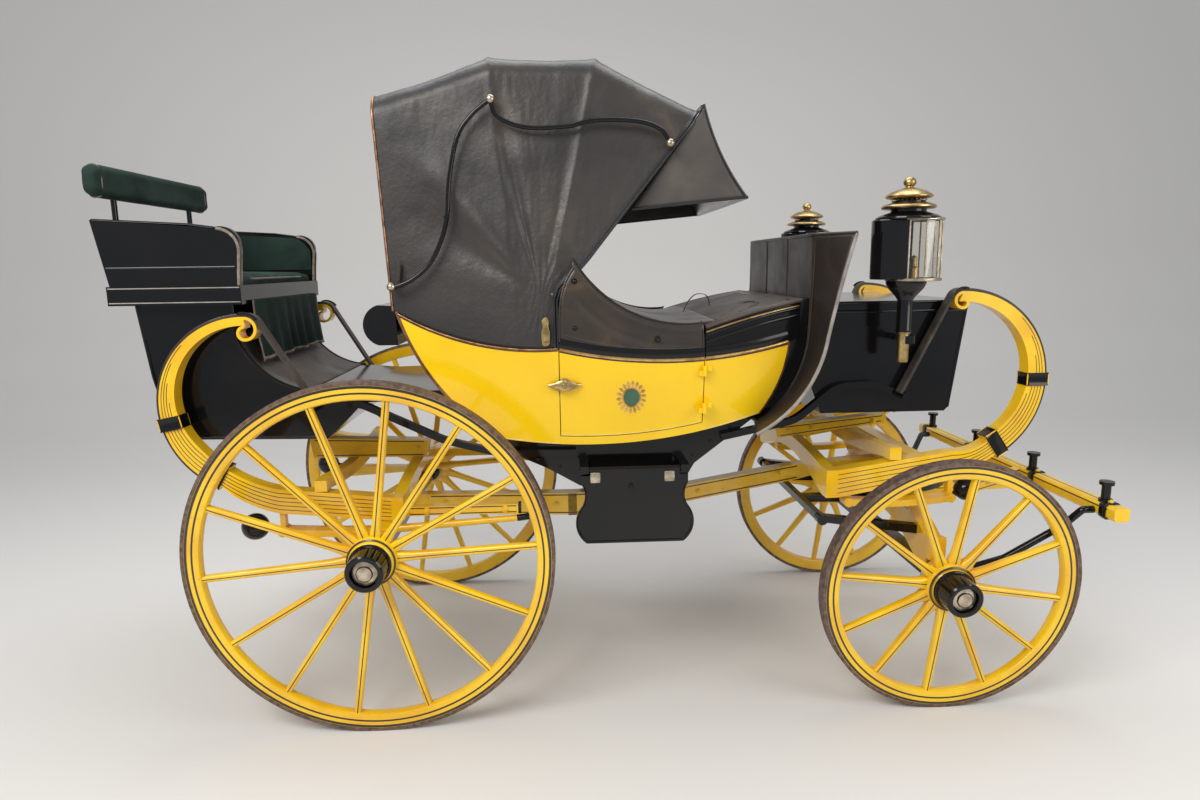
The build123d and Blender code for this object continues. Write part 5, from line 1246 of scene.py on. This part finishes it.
stud = turned_piece("stud", [(0.0, 0.0062), (0.003, 0.006), (0.005, 0.0045), (0.0052, 0.003),
                             (0.0085, 0.0026), (0.0098, 0.0012), (0.010, 0.0)], 18)
for side_name, side in SIDES:
    rows = []
    for i in range(57):
        s = i / 56
        top_x = 700 + 440 * s
        low_x = 649 + 494 * s
        top_z = z_on(crease_line, top_x)
        low_z = z_on(belt, low_x) + 35
        crest = z_on(apron_line, top_x)
        row = []
        for k in range(33):
            u = k / 32
            x = low_x + (top_x - low_x) * u ** 3.5
            z = low_z + (top_z - 16 - low_z) * u
            below = top_z - z
            out = 0.5 - 8.5 * math.exp(-((below - 52) / 23) ** 2) * smooth(s * 6) * smooth((1 - s) * 5 + 0.1)
            swell = 3.0 * math.exp(-((below - 125) / 45) ** 2)
            out += swell + 2.0 * noise.noise(Vector((x / 90, z / 70, 2.0)))
            out *= smooth(u * 5)
            row.append(at(x, side * (half_width(x, z) + out), z))
        start = row[-1]
        corner = at(top_x, side * (half_width(top_x, top_z) + 4), crest + 8)
        stop = at(top_x, side * 494, crest + 4)
        for k in range(1, 15):
            t = k / 14
            row.append(start * (1 - t) ** 2 + corner * 2 * t * (1 - t) + stop * t * t)
        rows.append(row)
    flap = sweep_mesh(f"apron_flap_{side_name}", rows)
    show_outside(flap, LEFT * side)
    thicken(flap, 0.005)
    finish(flap, apron_leather, f"door_{side_name}")
    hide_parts(f"door_flap_{side_name}")
    hems = []
    for line in ([row[0] for row in rows], rows[0], rows[-1]):
        hems.append(band("hem", [Vector(p) for p in line], Vector((0, side, 0.01)), rounded(0.0030, 8)))
    finish(joined(f"flap_hem_{side_name}", hems), apron_leather, f"door_{side_name}")
    places = []
    for x, z in ((703, 1545), (703, 1389), (984, 1344)):
        path, facing = on_side([(x, z)], side, 0, 0.5)
        places.append((path[0], facing[0], AHEAD))
    finish(set_down(f"flap_studs_{side_name}", stud, places, coach_black), coach_black,
           f"door_{side_name}")
    thread_places = []
    for i in range(2, 56):
        p = rows[i][3]
        run = (p - rows[i - 1][3]).normalized()
        thread_places.append((p + LEFT * (side * 0.0006), LEFT * side, run))
    seam = seam_stitch(0.0032)
    finish(set_down(f"flap_stitches_{side_name}", seam, thread_places, thread), thread,
           f"door_{side_name}")
    discard(seam)
discard(stud)

# Deck before the door.
# A boarded deck with black mouldings is topped with thin brown leather, with two thin strap loops on it.
dress("front_deck", coach_black)
deck_leather = leather("deck_leather", (0.080, 0.062, 0.050, 1), (0.045, 0.036, 0.031, 1),
                       (0.12, 0.095, 0.075, 1), 0.48, 5, 600, 0.25, 0.1)
deck_curve = arc(*DECK, 30)
rows = []
for x, z in deck_curve:
    reach = half_width(x, z) - 3
    row = []
    for k in range(57):
        y = -reach + 2 * reach * k / 56
        edge = min(1, (reach - abs(y)) / 12)
        row.append(at(x, y, z + 5 * math.sqrt(max(1 - (1 - edge) ** 2, 0)) + 2 * (1 - (y / reach) ** 2) - 1
                      + 0.8 * noise.noise(Vector((x / 70, y / 70, 5)))))
    rows.append(row)
deck_top = sweep_mesh("deck_leather_top", rows)
show_outside(deck_top, UP)
thicken(deck_top, 0.004)
finish(deck_top, deck_leather)
for side_name, side in SIDES:
    line = between(deck_curve, 1151, 1500)
    piece = side_trim(f"deck_roll_{side_name}", line, -1, side, rounded(0.0065, 12), 4, 1)
    finish(piece, deck_leather)


def loop_path(points, count=12):
    """A smooth line through its points."""
    path = []
    for i in range(len(points) - 1):
        p0, p1, p2, p3 = points[max(i - 1, 0)], points[i], points[i + 1], points[min(i + 2, len(points) - 1)]
        for k in range(count):
            t = k / count
            path.append(0.5 * (2 * p1 + (p2 - p0) * t + (2 * p0 - 5 * p1 + 4 * p2 - p3) * t * t
                               + (3 * p1 - p0 - 3 * p2 + p3) * t ** 3))
    return path + [points[-1]]


upright = loop_path([at(1160, 50, 1391), at(1182, 50, 1440), at(1215, 50, 1472), at(1256, 50, 1470),
                     at(1272, 50, 1442), at(1270, 50, 1423)])
lying = loop_path([at(1200, -470, 1405), at(1290, -330, 1429), at(1350, -200, 1446), at(1384, -250, 1454),
                   at(1370, -350, 1451), at(1290, -450, 1429)])
loops = []
strap_shape = [(0.0075, -0.0012), (0.0075, 0.0012), (-0.0075, 0.0012), (-0.0075, -0.0012)]
loops.append(band("loop", upright, across_path(upright, Vector((0, 1, 0))), strap_shape))
loops.append(band("loop", lying, UP, strap_shape))
finish(joined("deck_strap_loops", loops), brace_leather)

# Dash and wings.
# Patent leather is sewn over an iron frame: brown and dull towards the driver, black where it meets the mud.
# Seams divide it into panels, and a pale cord binds the wings' edges.
DASH_HALF, WING_SEAM_Y, PANEL_WIDE = 600, 450, 300
dash_back = [(1536, 1690)] + arc((1536, 1690), (1537, 1500), (1532, 1340), 24)[1:]
dash_back += arc((1532, 1340), (1475, 1158), (1345, 1028), 26)[1:]
dash_edge = [(1629, 1690)] + arc((1629, 1690), (1580, 1500), (1545, 1340), 24)[1:]
dash_edge += arc((1545, 1340), (1465, 1148), (1310, 1018), 26)[1:]


def dash_place(row, y):
    """A place on dash and wings, whose leather sinks a little between its seams."""
    (x0, z0), (x1, z1) = dash_back[row], dash_edge[row]
    past = (abs(y) - WING_SEAM_Y) / (DASH_HALF - WING_SEAM_Y)
    t = min(smooth((abs(y) - 440) / 20) * 0.07 + 0.93 * max(0, past), 1)
    share = (y + WING_SEAM_Y) / PANEL_WIDE % 1 if past < 0 else min(past, 1)
    seam = -2.2 * abs(math.sin(math.pi * share)) ** 0.35 + 1.4
    return at(x0 + (x1 - x0) * t + 7 + seam * (0.5 if row > 40 else 1), y, z0 + (z1 - z0) * t)


rows = []
across_ys = [-DASH_HALF + 2 * DASH_HALF * k / 120 for k in range(121)]
for i in range(len(dash_back)):
    rows.append([dash_place(i, y) for y in across_ys])
dash = sweep_mesh("dash", rows)
show_outside(dash, AHEAD)
dash_brown = leather("dash_brown_leather", (0.026, 0.019, 0.016, 1), (0.014, 0.011, 0.010, 1),
                     (0.046, 0.033, 0.026, 1), 0.42, 6, 620, 0.16, 0.12)
dash.data.materials.append(patent)
dash.data.materials.append(dash_brown)
thicken(dash, 0.011, 0).material_offset = 1
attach(dash, "carriage")
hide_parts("dash")
bindings, seams = [], []
for side in (-1, 1):
    path = [dash_place(i, side * DASH_HALF) for i in range(len(dash_back))]
    bindings.append(band("binding", path, Vector((0, side, 0.001)), rounded(0.0062, 12)))
    for y in (150, 450):
        path = [dash_place(i, side * y) + Vector((-0.0058, 0, 0))
                for i in range(0, 40 if y < 400 else len(dash_back))]
        seams.append(band("seam", path, Vector((-1, 0, 0.01)), rounded(0.0022, 8)))
        path = [p + Vector((0.0126, 0, 0)) for p in path]
        seams.append(band("seam", path, Vector((1, 0, 0.01)), rounded(0.0022, 8)))
top_path = [dash_place(0, y) for y in across_ys]
bindings_top = band("dash_top_roll", top_path, UP, rounded(0.0075, 12))
finish(bindings_top, dash_brown)
edge_pale = leather("pale_edge_cord", (0.30, 0.27, 0.24, 1), (0.18, 0.16, 0.14, 1), (0.42, 0.38, 0.33, 1),
                    0.5, 20, 900)
finish(joined("wing_bindings", bindings), edge_pale)
finish(joined("dash_seams", seams), dash_brown)
places = []
for y in (-456, -444, -156, -144, 144, 156, 444, 456):
    for i in range(1, 38):
        p, q = dash_place(i, y), dash_place(i + 1, y)
        for t in (0.0, 0.5):
            places.append((p.lerp(q, t) + Vector((-0.0062, 0, 0)), Vector((-1, 0, 0)), (q - p).normalized()))
seam = seam_stitch(0.0030)
finish(set_down("dash_stitches", seam, places, thread), thread)
discard(seam)

# Boots.
# Two black varnished boxes for luggage, one in front of the body and one behind it.
# Half-round beads cover their corners.
FRONT_BOOT_Y, REAR_BOOT_Y = 411.5, 379
beads = []
for z, (x0, x1) in ((1452, (1556, 2128)), (1420, (1556, 2124))):
    for side in (-1, 1):
        y = side * 413.7
        beads.append(band("bead", [at(x0, y, z), at(x1, y, z)], LEFT * side, rounded(0.005, 10, 0.8)))
for side in (-1, 1):
    beads.append(band("bead", [at(x, side * FRONT_BOOT_Y, z)
                               for x, z in ((2127, 1455), (2122, 1417), (2076, 1064))],
                      LEFT * side, rounded(0.006, 10)))
    beads.append(band("bead", [at(x, side * FRONT_BOOT_Y, z) for x, z in ((1602, 1054), (2064, 1054))],
                      LEFT * side, rounded(0.005, 10)))
    rear_low = arc((-787, 1253), (-745, 1110), (-670, 1004), 16)
    rear_top = arc((-233, 1166), (-400, 1236), (-490, 1373), 20)
    for line in ([(-815, 1478)] + rear_low + [(-198, 996)], rear_top + [(-490, 1478)]):
        beads.append(band("bead", [at(x, side * REAR_BOOT_Y, z) for x, z in line], LEFT * side,
                          rounded(0.006, 10)))
finish(joined("boot_beads", beads), coach_black)
shelf = [(x, z) for x, z in rear_top if x < -236]
rows = [[at(x + 1.5, -372 + 744 * k / 12, z + 2.0) for k in range(13)] for x, z in shelf]
shelf_top = sweep_mesh("boot_shelf_leather", rows)
show_outside(shelf_top, UP)
thicken(shelf_top, 0.003)
finish(shelf_top, deck_leather)

# Hood irons and fittings.
# Smooth black irons run up each side of the hood, jointed at black knuckles and tipped with brass knobs.
# A brass socket plate, a stud and a short buttoned strap sit on the leather beside them.
IRON_Y = 512
first_iron = [(91, 1534), (115, 1537), (164, 1559), (220, 1606), (260, 1676), (287, 1763), (299, 1879),
              (331, 2014), (382, 2085), (442, 2131)]
second_iron = [(442, 2131), (457, 2085), (507, 2055), (569, 2042), (627, 2042), (706, 2048), (759, 2062),
               (847, 2066), (939, 2058), (999, 2034), (1029, 1992)]
ball = [(-0.0150 * math.cos(math.pi * i / 12), 0.0150 * math.sin(math.pi * i / 12)) for i in range(13)]
knob = turned_piece("knob", ball, 24)
collar = turned_piece("collar", [(-0.011, 0.008), (-0.011, 0.0115), (0.011, 0.0115), (0.011, 0.008)], 20)
for side_name, side in SIDES:
    rods = []
    for points in (first_iron, second_iron):
        path = loop_path([at(x, side * IRON_Y, z) for x, z in points], 6)
        rods.append(band("rod", path, LEFT * side, rounded(0.0076, 14)))
    irons = joined(f"hood_irons_{side_name}", rods)
    finish(irons, coach_black)
    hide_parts("hood_irons")
    knob_places = [(at(x, side * IRON_Y, z), LEFT * side, UP)
                   for x, z in ((91, 1534), (443, 2131), (1030, 1991))]
    knobs = finish(set_down(f"hood_knobs_{side_name}", knob, knob_places, bright_cap), bright_cap)
    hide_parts("hood_irons")
    knuckles = [(at(284, side * IRON_Y, 1751), Vector((0.12, 0, 1)), AHEAD),
                (at(757, side * IRON_Y, 2063), AHEAD, UP)]
    joints = finish(set_down(f"iron_knuckles_{side_name}", collar, knuckles, coach_black), coach_black)
    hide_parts("hood_irons")
    stays = []
    for x, z, reach in ((91, 1534, 476), (443, 2131, 462), (1030, 1991, 468)):
        stays.append(band("stay", [at(x, side * reach, z), at(x, side * 508, z)], UP, rounded(0.006, 12)))
    ties = finish(joined(f"iron_stays_{side_name}", stays), coach_black)
    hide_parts("hood_irons")
    face = []
    outline = [(-12, 1334), (-4, 1329), (6, 1331), (13, 1338), (14, 1376), (10, 1398), (11, 1416),
               (5, 1427), (-5, 1425), (-12, 1414), (-9, 1396), (-14, 1376)]
    for share, out in ((0.0, 5.0), (0.82, 5.0), (1.0, 3.6), (1.0, -3.0)):
        row = []
        for dx, z in outline:
            px, pz = 603 + dx * share, 1378 + (z - 1378) * share
            row.append(at(px, side * (half_width(px, pz) + 4 + out), pz))
        face.append(row)
    socket = sweep_mesh("hood_socket", face, closed_across=True, smooth=False)
    tidy(socket, angle=40)
    show_outside(socket, LEFT * side)
    finish(socket, brass)
    stud_out = Vector((0, side, 0.05))
    low_stud = at(603, side * (half_width(603, 1345) + 8), 1345)
    studs = [(at(628, side * 545, 1503), stud_out, UP), (low_stud, stud_out, UP)]
    rivet = turned_piece("rivet", [(-0.004, 0.0065), (0.002, 0.0065), (0.0045, 0.004), (0.0052, 0.0)], 16)
    finish(set_down(f"hood_studs_{side_name}", rivet, studs, bright_cap), bright_cap)
    discard(rivet)
    strap = loop_path([at(112, side * 484, 1618), at(109, side * 485, 1580), at(104, side * 484, 1541)], 6)
    finish(band(f"hood_strap_{side_name}", strap, Vector((-0.2, side, 0)), rounded(0.009, 10, 0.3)),
           brace_leather)
for piece in (knob, collar):
    discard(piece)
lining = [[p + Vector((-0.0075, 0, -0.002)) for p in row] for row in front]
inside = sweep_mesh("visor_lining", lining)
show_outside(inside, -AHEAD)
thicken(inside, 0.002, 1)
finish(inside, patent)
finish(band("visor_rim", front[-1], Vector((0.3, 0, -1)), rounded(0.0065, 12)), patent)
rims = []
for side in (-1, 1):
    rims.append(band("rim", [Vector((row[-1].x, -side * row[-1].y, row[-1].z)) for row in cheek_rows],
                     Vector((0.5, side, 0)), rounded(0.0045, 10)))
    rims.append(band("rim", [Vector((p.x, -side * p.y, p.z)) for p in cheek_rows[-1]], Vector((0, side, -1)),
                     rounded(0.0045, 10)))
finish(joined("visor_cheek_rims", rims), patent)

# Rumble seat.
# The servants' seat behind is a black varnished box with a back and two side panels, bound with grey braid.
# Its stuffed cushion is dark green cloth, and a green curtain hangs from its front.
dress("rumble_seat", coach_black)
green_cloth = leather("green_cloth", (0.012, 0.032, 0.024, 1), (0.007, 0.019, 0.015, 1),
                      (0.022, 0.046, 0.036, 1), 0.82, 5, 1500, 0.20, 0.0)
braid = leather("grey_braid", (0.26, 0.22, 0.17, 1), (0.15, 0.125, 0.095, 1), (0.36, 0.31, 0.25, 1), 0.75,
                40, 1600)
side_top = [(-917, 1768), (-600, 1750), (-515, 1739)] + arc((-515, 1739), (-462, 1722), (-437, 1663), 14)[1:]
RUMBLE_WALL_Y, LINING_LOW = 409, 1594
side_front = [(-437, 1663), (-443, 1600), (-447, 1545)]
bindings, lines = [], []
for side in (-1, 1):
    for y in (side * 419, side * 399):
        facing = Vector((0, 1 if y * side > 410 else -1, 0)) * side
        bindings.append(band("braid", [at(x + 2, y, z - 3) for x, z in side_top[-14:] + side_front[1:]],
                             facing, rounded(0.0055, 10)))
    lines.append(band("moulding", [at(x, side * 420, z) for x, z in ((-880, 1606), (-452, 1606))],
                      LEFT * side, rounded(0.0045, 10, 0.8)))
    lines.append(band("top", [at(x, side * RUMBLE_WALL_Y, z)
                              for x, z in ((-915, 1768), (-600, 1750), (-517, 1739))],
                      UP, rounded(0.0085, 12, 0.6)))
finish(joined("rumble_braid", bindings), braid)
finish(joined("rumble_mouldings", lines), coach_black)
grey_line = painted("grey_line", (0.34, 0.33, 0.30, 1), (0.22, 0.21, 0.19, 1), 0.4, 14)
strokes = []
for side in (-1, 1):
    for z in (1489, 1538):
        strokes.append(band("line", [at(-880, side * 428, z), at(-441, side * 428, z)], LEFT * side,
                            flat(0.0035)))
    strokes.append(band("line", [at(x - 0.4, side * RUMBLE_WALL_Y, z)
                                 for x, z in ((-915, 1764), (-874, 1540))],
                        Vector((-1, 0, -0.15)), flat(0.010)))
finish(joined("rumble_lines", strokes), grey_line)

for side in (-1, 1):
    sheet_rows = []
    for i in range(19):
        x = -868 + 418 * i / 18
        top = 1762 - 0.06 * (x + 917) if x < -515 else 1736 - 62 * ((x + 515) / 70) ** 2
        swell = 3 * math.sin(math.pi * min(1, i / 18))
        sheet_rows.append([at(x, side * (396.5 - swell * math.sin(math.pi * k / 12)),
                              LINING_LOW + (top - 6 - LINING_LOW) * k / 12) for k in range(13)])
    panel = sweep_mesh("rumble_side_lining", sheet_rows)
    show_outside(panel, LEFT * -side)
    finish(panel, green_cloth)
tufts = [(-780 + 100 * i, -300 + 100 * k + (50 if i % 2 else 0)) for i in range(4) for k in range(7)]
pad = cushion("rumble_cushion", (-846, -394, 1501), (-454, 394, 1583), 30, 8, 4, 40,
              [b for b in tufts if abs(b[1]) < 360], 11, 26)
finish(pad, green_cloth)
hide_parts("rumble_cushion")


def boxed_circle(count, power):
    """Points round a unit circle that is swollen towards its box; a high power comes close to it."""
    points = []
    for i in range(count):
        c, s = math.cos(2 * math.pi * i / count), math.sin(2 * math.pi * i / count)
        r = (abs(c) ** power + abs(s) ** power) ** (-1 / power)
        points.append((r * c, r * s))
    return points


piping = []
for z in (1521, 1564):
    loop = [at(-650 + u * (192 - 3.5 * (1 - v * v)), v * (392 - 3.5 * (1 - u * u)), z)
            for u, v in boxed_circle(72, 7)]
    facing = [(p - at(-650, 0, z)).normalized() for p in loop]
    piping.append(band("piping", loop, facing, rounded(0.0042, 8), loop=True))
finish(joined("rumble_piping", piping), braid)

REST_X, REST_Z = -905, 1899.5
rest = cushion("headrest", (-932, -424, 1844), (-878, 424, 1955), 25, 0, 2, 44)
with opened(rest) as shape:
    for vert in shape.verts:
        y, z = vert.co.y * 1000, vert.co.z * 1000
        past = max(0, abs(y) - 374)
        if past:
            half_now = math.sqrt(max(0, 1 - (past / 50) ** 2))
            middle_z = at(0, 0, REST_Z).z
            vert.co.z = middle_z + (vert.co.z - middle_z) * (0.35 + 0.65 * half_now)
        vert.co.x += 0.0022 * noise.noise(Vector((y / 90, z / 50, 1)))
finish(rest, green_cloth)
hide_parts("headrest")
posts = []
for side in (-1, 1):
    posts.append(band("post", [at(REST_X, side * 280, z) for z in (1846, 1757)], AHEAD, rounded(0.010, 14)))
irons = finish(joined("headrest_posts", posts), coach_black)
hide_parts("headrest")
cords = []
for side in (-1, 1):
    ring = [at(REST_X + 23.5 * u, side * 384, REST_Z + 53.5 * v) for u, v in boxed_circle(40, 3)]
    facing = [(p - at(REST_X, side * 384, REST_Z)).normalized() for p in ring]
    cords.append(band("cord", ring, facing, rounded(0.0042, 8), loop=True))
finish(joined("headrest_cords", cords), braid)

curtain_rows = []
for i in range(49):
    t = i / 48
    row = []
    for k in range(121):
        u = -1 + k / 60
        y = 358 * u
        wave = math.sin(u * 23 + 0.6 * math.sin(u * 5)) * (0.25 + 0.75 * t)
        deep = 9 * wave + 5 * noise.noise(Vector((y / 90, t * 1.5, 8)))
        x = -428 + 20 * t ** 1.5 + deep * (0.3 + 0.7 * t)
        row.append(at(min(x, -404), y, 1492 - 208 * t - 3 * (1 - math.cos(u * 9)) * t))
    curtain_rows.append(row)
curtain = sweep_mesh("rumble_curtain", curtain_rows)
show_outside(curtain, AHEAD)
thicken(curtain, 0.0025, 0)
finish(curtain, green_cloth)
trims = []
for line in ([row[0] for row in curtain_rows], [row[-1] for row in curtain_rows], curtain_rows[-1]):
    trims.append(band("trim", [Vector(p) + Vector((0.0016, 0, 0)) for p in line], Vector((1, 0, 0.01)),
                      rounded(0.006, 8, 0.35)))
finish(joined("curtain_braid", trims), braid)

# Carriage lamps.
# Each lamp has a black case, a drum of glass panes in a brass frame and a stacked roof with vents.
# A long tube below holds the candle, black above and brass at its foot.
glass, nodes, links, shader = new_material("lamp_glass")
set_inputs(shader, Base_Color=(0.93, 0.91, 0.86, 1), Roughness=0.02, Transmission_Weight=1, IOR=1.46)
LAMP_Y, GLASS_X, ROOF_X, ROOF_Z, TUBE_X, TUBE_Z = 547, 1858, 1830, 1735, 1835, 1532
reflector = metal("lamp_silver", (0.86, 0.82, 0.74, 1), (0.60, 0.52, 0.40, 1), 0.16, 30)


def turned(name, profile, x, y, z, material, steps=48):
    """A piece turned about an upright line, its profile as radius and height in millimetres."""
    place = Matrix.Translation(at(x, y, z))
    piece = lathe(name, [(r / 1000, h / 1000) for r, h in profile], place, steps)
    finish(piece, material)
    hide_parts("lamps")
    return piece


ROOF = [
    ("hat", [(0.5, -2), (103, -2), (105, 2), (104, 6), (92, 13), (64, 22), (58, 24), (58, 33), (0.5, 33)],
     coach_black),
    ("neck_a", [(0.5, 40), (54, 40), (54, 60), (0.5, 60)], coach_black),
    ("ring_a", [(52, 31), (84, 34), (88, 38), (88, 42), (84, 46), (70, 51), (52, 55)], brass),
    ("ring_b", [(40, 64), (70, 68), (75.5, 72), (76, 76), (72, 80), (54, 91), (34, 98), (24, 101),
                (16, 103), (16, 96)], brass),
    ("ball", [(0.5, 100), (14, 102), (12, 107), (16, 110), (20, 115), (21, 121), (19, 128), (14, 134),
              (7, 138), (0.5, 139)], brass),
]
TUBE = [
    ("cup", [(0.5, -66), (26, -66), (30, -58), (44, -42), (58, -26), (66, -10), (66, 0), (0.5, 0)],
     coach_black, 48),
    ("stem", [(0.5, -176), (26, -176), (27, -170), (25, -164), (25, -60), (0.5, -60)], coach_black, 32),
    ("tube", [(0.5, -282), (13, -282), (19, -279), (20.5, -272), (20.5, -182), (24, -180), (24, -174),
              (0.5, -174)], brass, 32),
]
for side_name, side in SIDES:
    y = side * LAMP_Y
    case_rows = []
    for z in (1536, 1540, 1730, 1734):
        shrink = 4 if z in (1536, 1734) else 0
        ring = []
        for i in range(33):
            a = math.pi / 2 + math.pi * i / 32
            ring.append(at(1776 + (64 - shrink) * math.cos(a), y + (70 - shrink) * math.sin(a), z))
        ring += [at(1810, y - 70 + shrink, z), at(1810, y + 70 - shrink, z)]
        case_rows.append(ring)
    case = sweep_mesh(f"lamp_case_{side_name}", case_rows, closed_across=True)
    with opened(case) as shape:
        bmesh.ops.holes_fill(shape, edges=[e for e in shape.edges if e.is_boundary], sides=0)
        bmesh.ops.recalc_face_normals(shape, faces=shape.faces)
    case.data.set_sharp_from_angle(angle=math.radians(40))
    finish(case, coach_black)
    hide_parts("lamps")
    pane_rows = []
    corners = [math.radians(18 + 36 * k) for k in range(10)]
    for radius, z in ((80.5, 1543), (84.5, 1543), (84.5, 1728), (80.5, 1728)):
        pane_rows.append([at(GLASS_X + radius * math.cos(a), y + radius * math.sin(a), z) for a in corners])
    pane = sweep_mesh(f"lamp_glass_{side_name}", pane_rows, closed_across=True, closed_along=True,
                      smooth=False)
    with opened(pane) as shape:
        bmesh.ops.recalc_face_normals(shape, faces=shape.faces)
    finish(pane, glass)
    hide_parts("lamps")
    bars = []
    for a in corners:
        out = Vector((math.cos(a), math.sin(a), 0))
        bars.append(band("bar", [at(GLASS_X, y, 1541) + out * 0.0855, at(GLASS_X, y, 1729) + out * 0.0855],
                         out, rounded(0.0032, 10)))
    cage = joined(f"lamp_bars_{side_name}", bars)
    finish(cage, bright_cap)
    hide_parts("lamps")
    for z, h in ((1530, 11), (1729, 9)):
        turned(f"lamp_rim_{side_name}_{z}", [(80, 0), (89, 0), (91.5, 2), (91.5, h - 2), (89, h), (80, h)],
               GLASS_X, y, z, bright_cap)
    mirror = []
    for z in (1546, 1600, 1660, 1726):
        deep = 0 if z in (1546, 1726) else 14
        mirror.append([at(1800 - deep * (1 - (k / 8 - 1) ** 2) + 22 * abs(k / 8 - 1) ** 2,
                          y + 62 * (k / 8 - 1), z) for k in range(17)])
    back_glass = sweep_mesh(f"lamp_mirror_{side_name}", mirror)
    show_outside(back_glass, AHEAD)
    finish(back_glass, reflector)
    turned(f"lamp_floor_{side_name}", [(0.5, 0), (82, 0), (82, 4), (0.5, 4)], GLASS_X, y, 1535, reflector)
    turned(f"lamp_candle_{side_name}", [
        (0.5, 0), (16, 0), (16, 34), (11, 40), (11, 70), (3, 76), (0.5, 78)], GLASS_X, y, 1539, brass, 24)
    for part, profile, material in ROOF:
        turned(f"lamp_{part}_{side_name}", profile, ROOF_X, y, ROOF_Z, material)
    for part, profile, material, steps in TUBE:
        turned(f"lamp_{part}_{side_name}", profile, TUBE_X, y, TUBE_Z, material, steps)
    dots = []
    for ring_z, ring_r, count in ((ROOF_Z + 35.5, 60, 26), (ROOF_Z + 63, 56, 24)):
        for i in range(count):
            a = 2 * math.pi * i / count
            out = Vector((math.cos(a), math.sin(a), 0))
            dots.append((at(ROOF_X, y, ring_z) + out * (ring_r / 1000), out, UP))
    bead = turned_piece("bead", [(0.0, 0.0022), (0.0016, 0.0016), (0.0022, 0.0)], 8)
    vents = finish(set_down(f"lamp_beads_{side_name}", bead, dots, brass), brass)
    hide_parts("lamps")
    discard(bead)

# Leaf seam shadows and keepers.
# Dark lines of painted shadow lie in the grooves that part the six leaves of each C-spring, every leaf ending
# further down than the one outside it.
# A small black loop keeps the brace on the curl.
PACKS = {
    "rear": {"outer": (-420, 1130, 310, 246), "outer_bend": (-462, 785), "outer_foot": (-352, 744),
             "inner": (-425, 1160, 250, 222), "inner_bend": (-500, 893), "inner_foot": (-354, 833),
             "end": (37, 706, 791)},
    "front": {"outer": (2080, 1170, 320, -60), "outer_bend": (2168, 851), "outer_foot": (2080, 818),
              "inner": (2075, 1192, 262, -50), "inner_bend": (2190, 935), "inner_foot": (2080, 909),
              "end": (1655, 745, 848)},
}
LEAVES, FIRST_END, LEAF_STEP = 6, 30, 15
# The seam paint is painted shadow: a dark amber that stands in for the shade inside the grooves between the
# leaves.
seam_shade = painted("seam_shade", (0.13, 0.07, 0.008, 1), (0.07, 0.04, 0.006, 1), 0.5, 12,
                     dirt=(0.05, 0.03, 0.01, 1))
seams, keepers = [], []
for end, pack in PACKS.items():
    spec = SPRINGS[end]
    turn = spec["turn"]
    for index in range(1, LEAVES):
        share = index / LEAVES
        cx, cz, radius, leave = (a + (b - a) * share for a, b in zip(pack["outer"], pack["inner"]))
        bend = tuple(a + (b - a) * share for a, b in zip(pack["outer_bend"], pack["inner_bend"]))
        foot = tuple(a + (b - a) * share for a, b in zip(pack["outer_foot"], pack["inner_foot"]))
        end_x, end_low, end_top = pack["end"]
        stop = 90 - turn * (FIRST_END + LEAF_STEP * index)
        path = []
        for i in range(41):
            a = math.radians(stop + (leave - stop) * i / 40)
            path.append((cx + radius * math.cos(a), cz + radius * math.sin(a)))
        path += arc(path[-1], bend, foot, 12)[1:]
        path.append((end_x, end_low + (end_top - end_low) * share))
        for side in (-1, 1):
            for face in (-1, 1):
                seams.append(band("seam", [at(x, side * SPRING_Y + face * 28, z) for x, z in path],
                                  Vector((0, face, 0)), flat(0.0026, 0.0004, 0.0006)))
    curl = spec["centre"][1] + spec["radius"] - spec["eye_z"] + STRAP + 3
    for side in (-1, 1):
        ring = []
        for i in range(19):
            a = math.radians(90 + turn * (-20 + 75 * i / 18))
            x, z = spec["centre"][0] + curl * math.cos(a), spec["eye_z"] + curl * math.sin(a)
            ring.append(at(x, side * (SPRING_Y + 29), z))
        keepers.append(band("keeper", ring, LEFT * side, rounded(0.0045, 10)))
finish(joined("leaf_seams", seams), seam_shade)
finish(joined("brace_keepers", keepers), coach_black)
discard(nut)
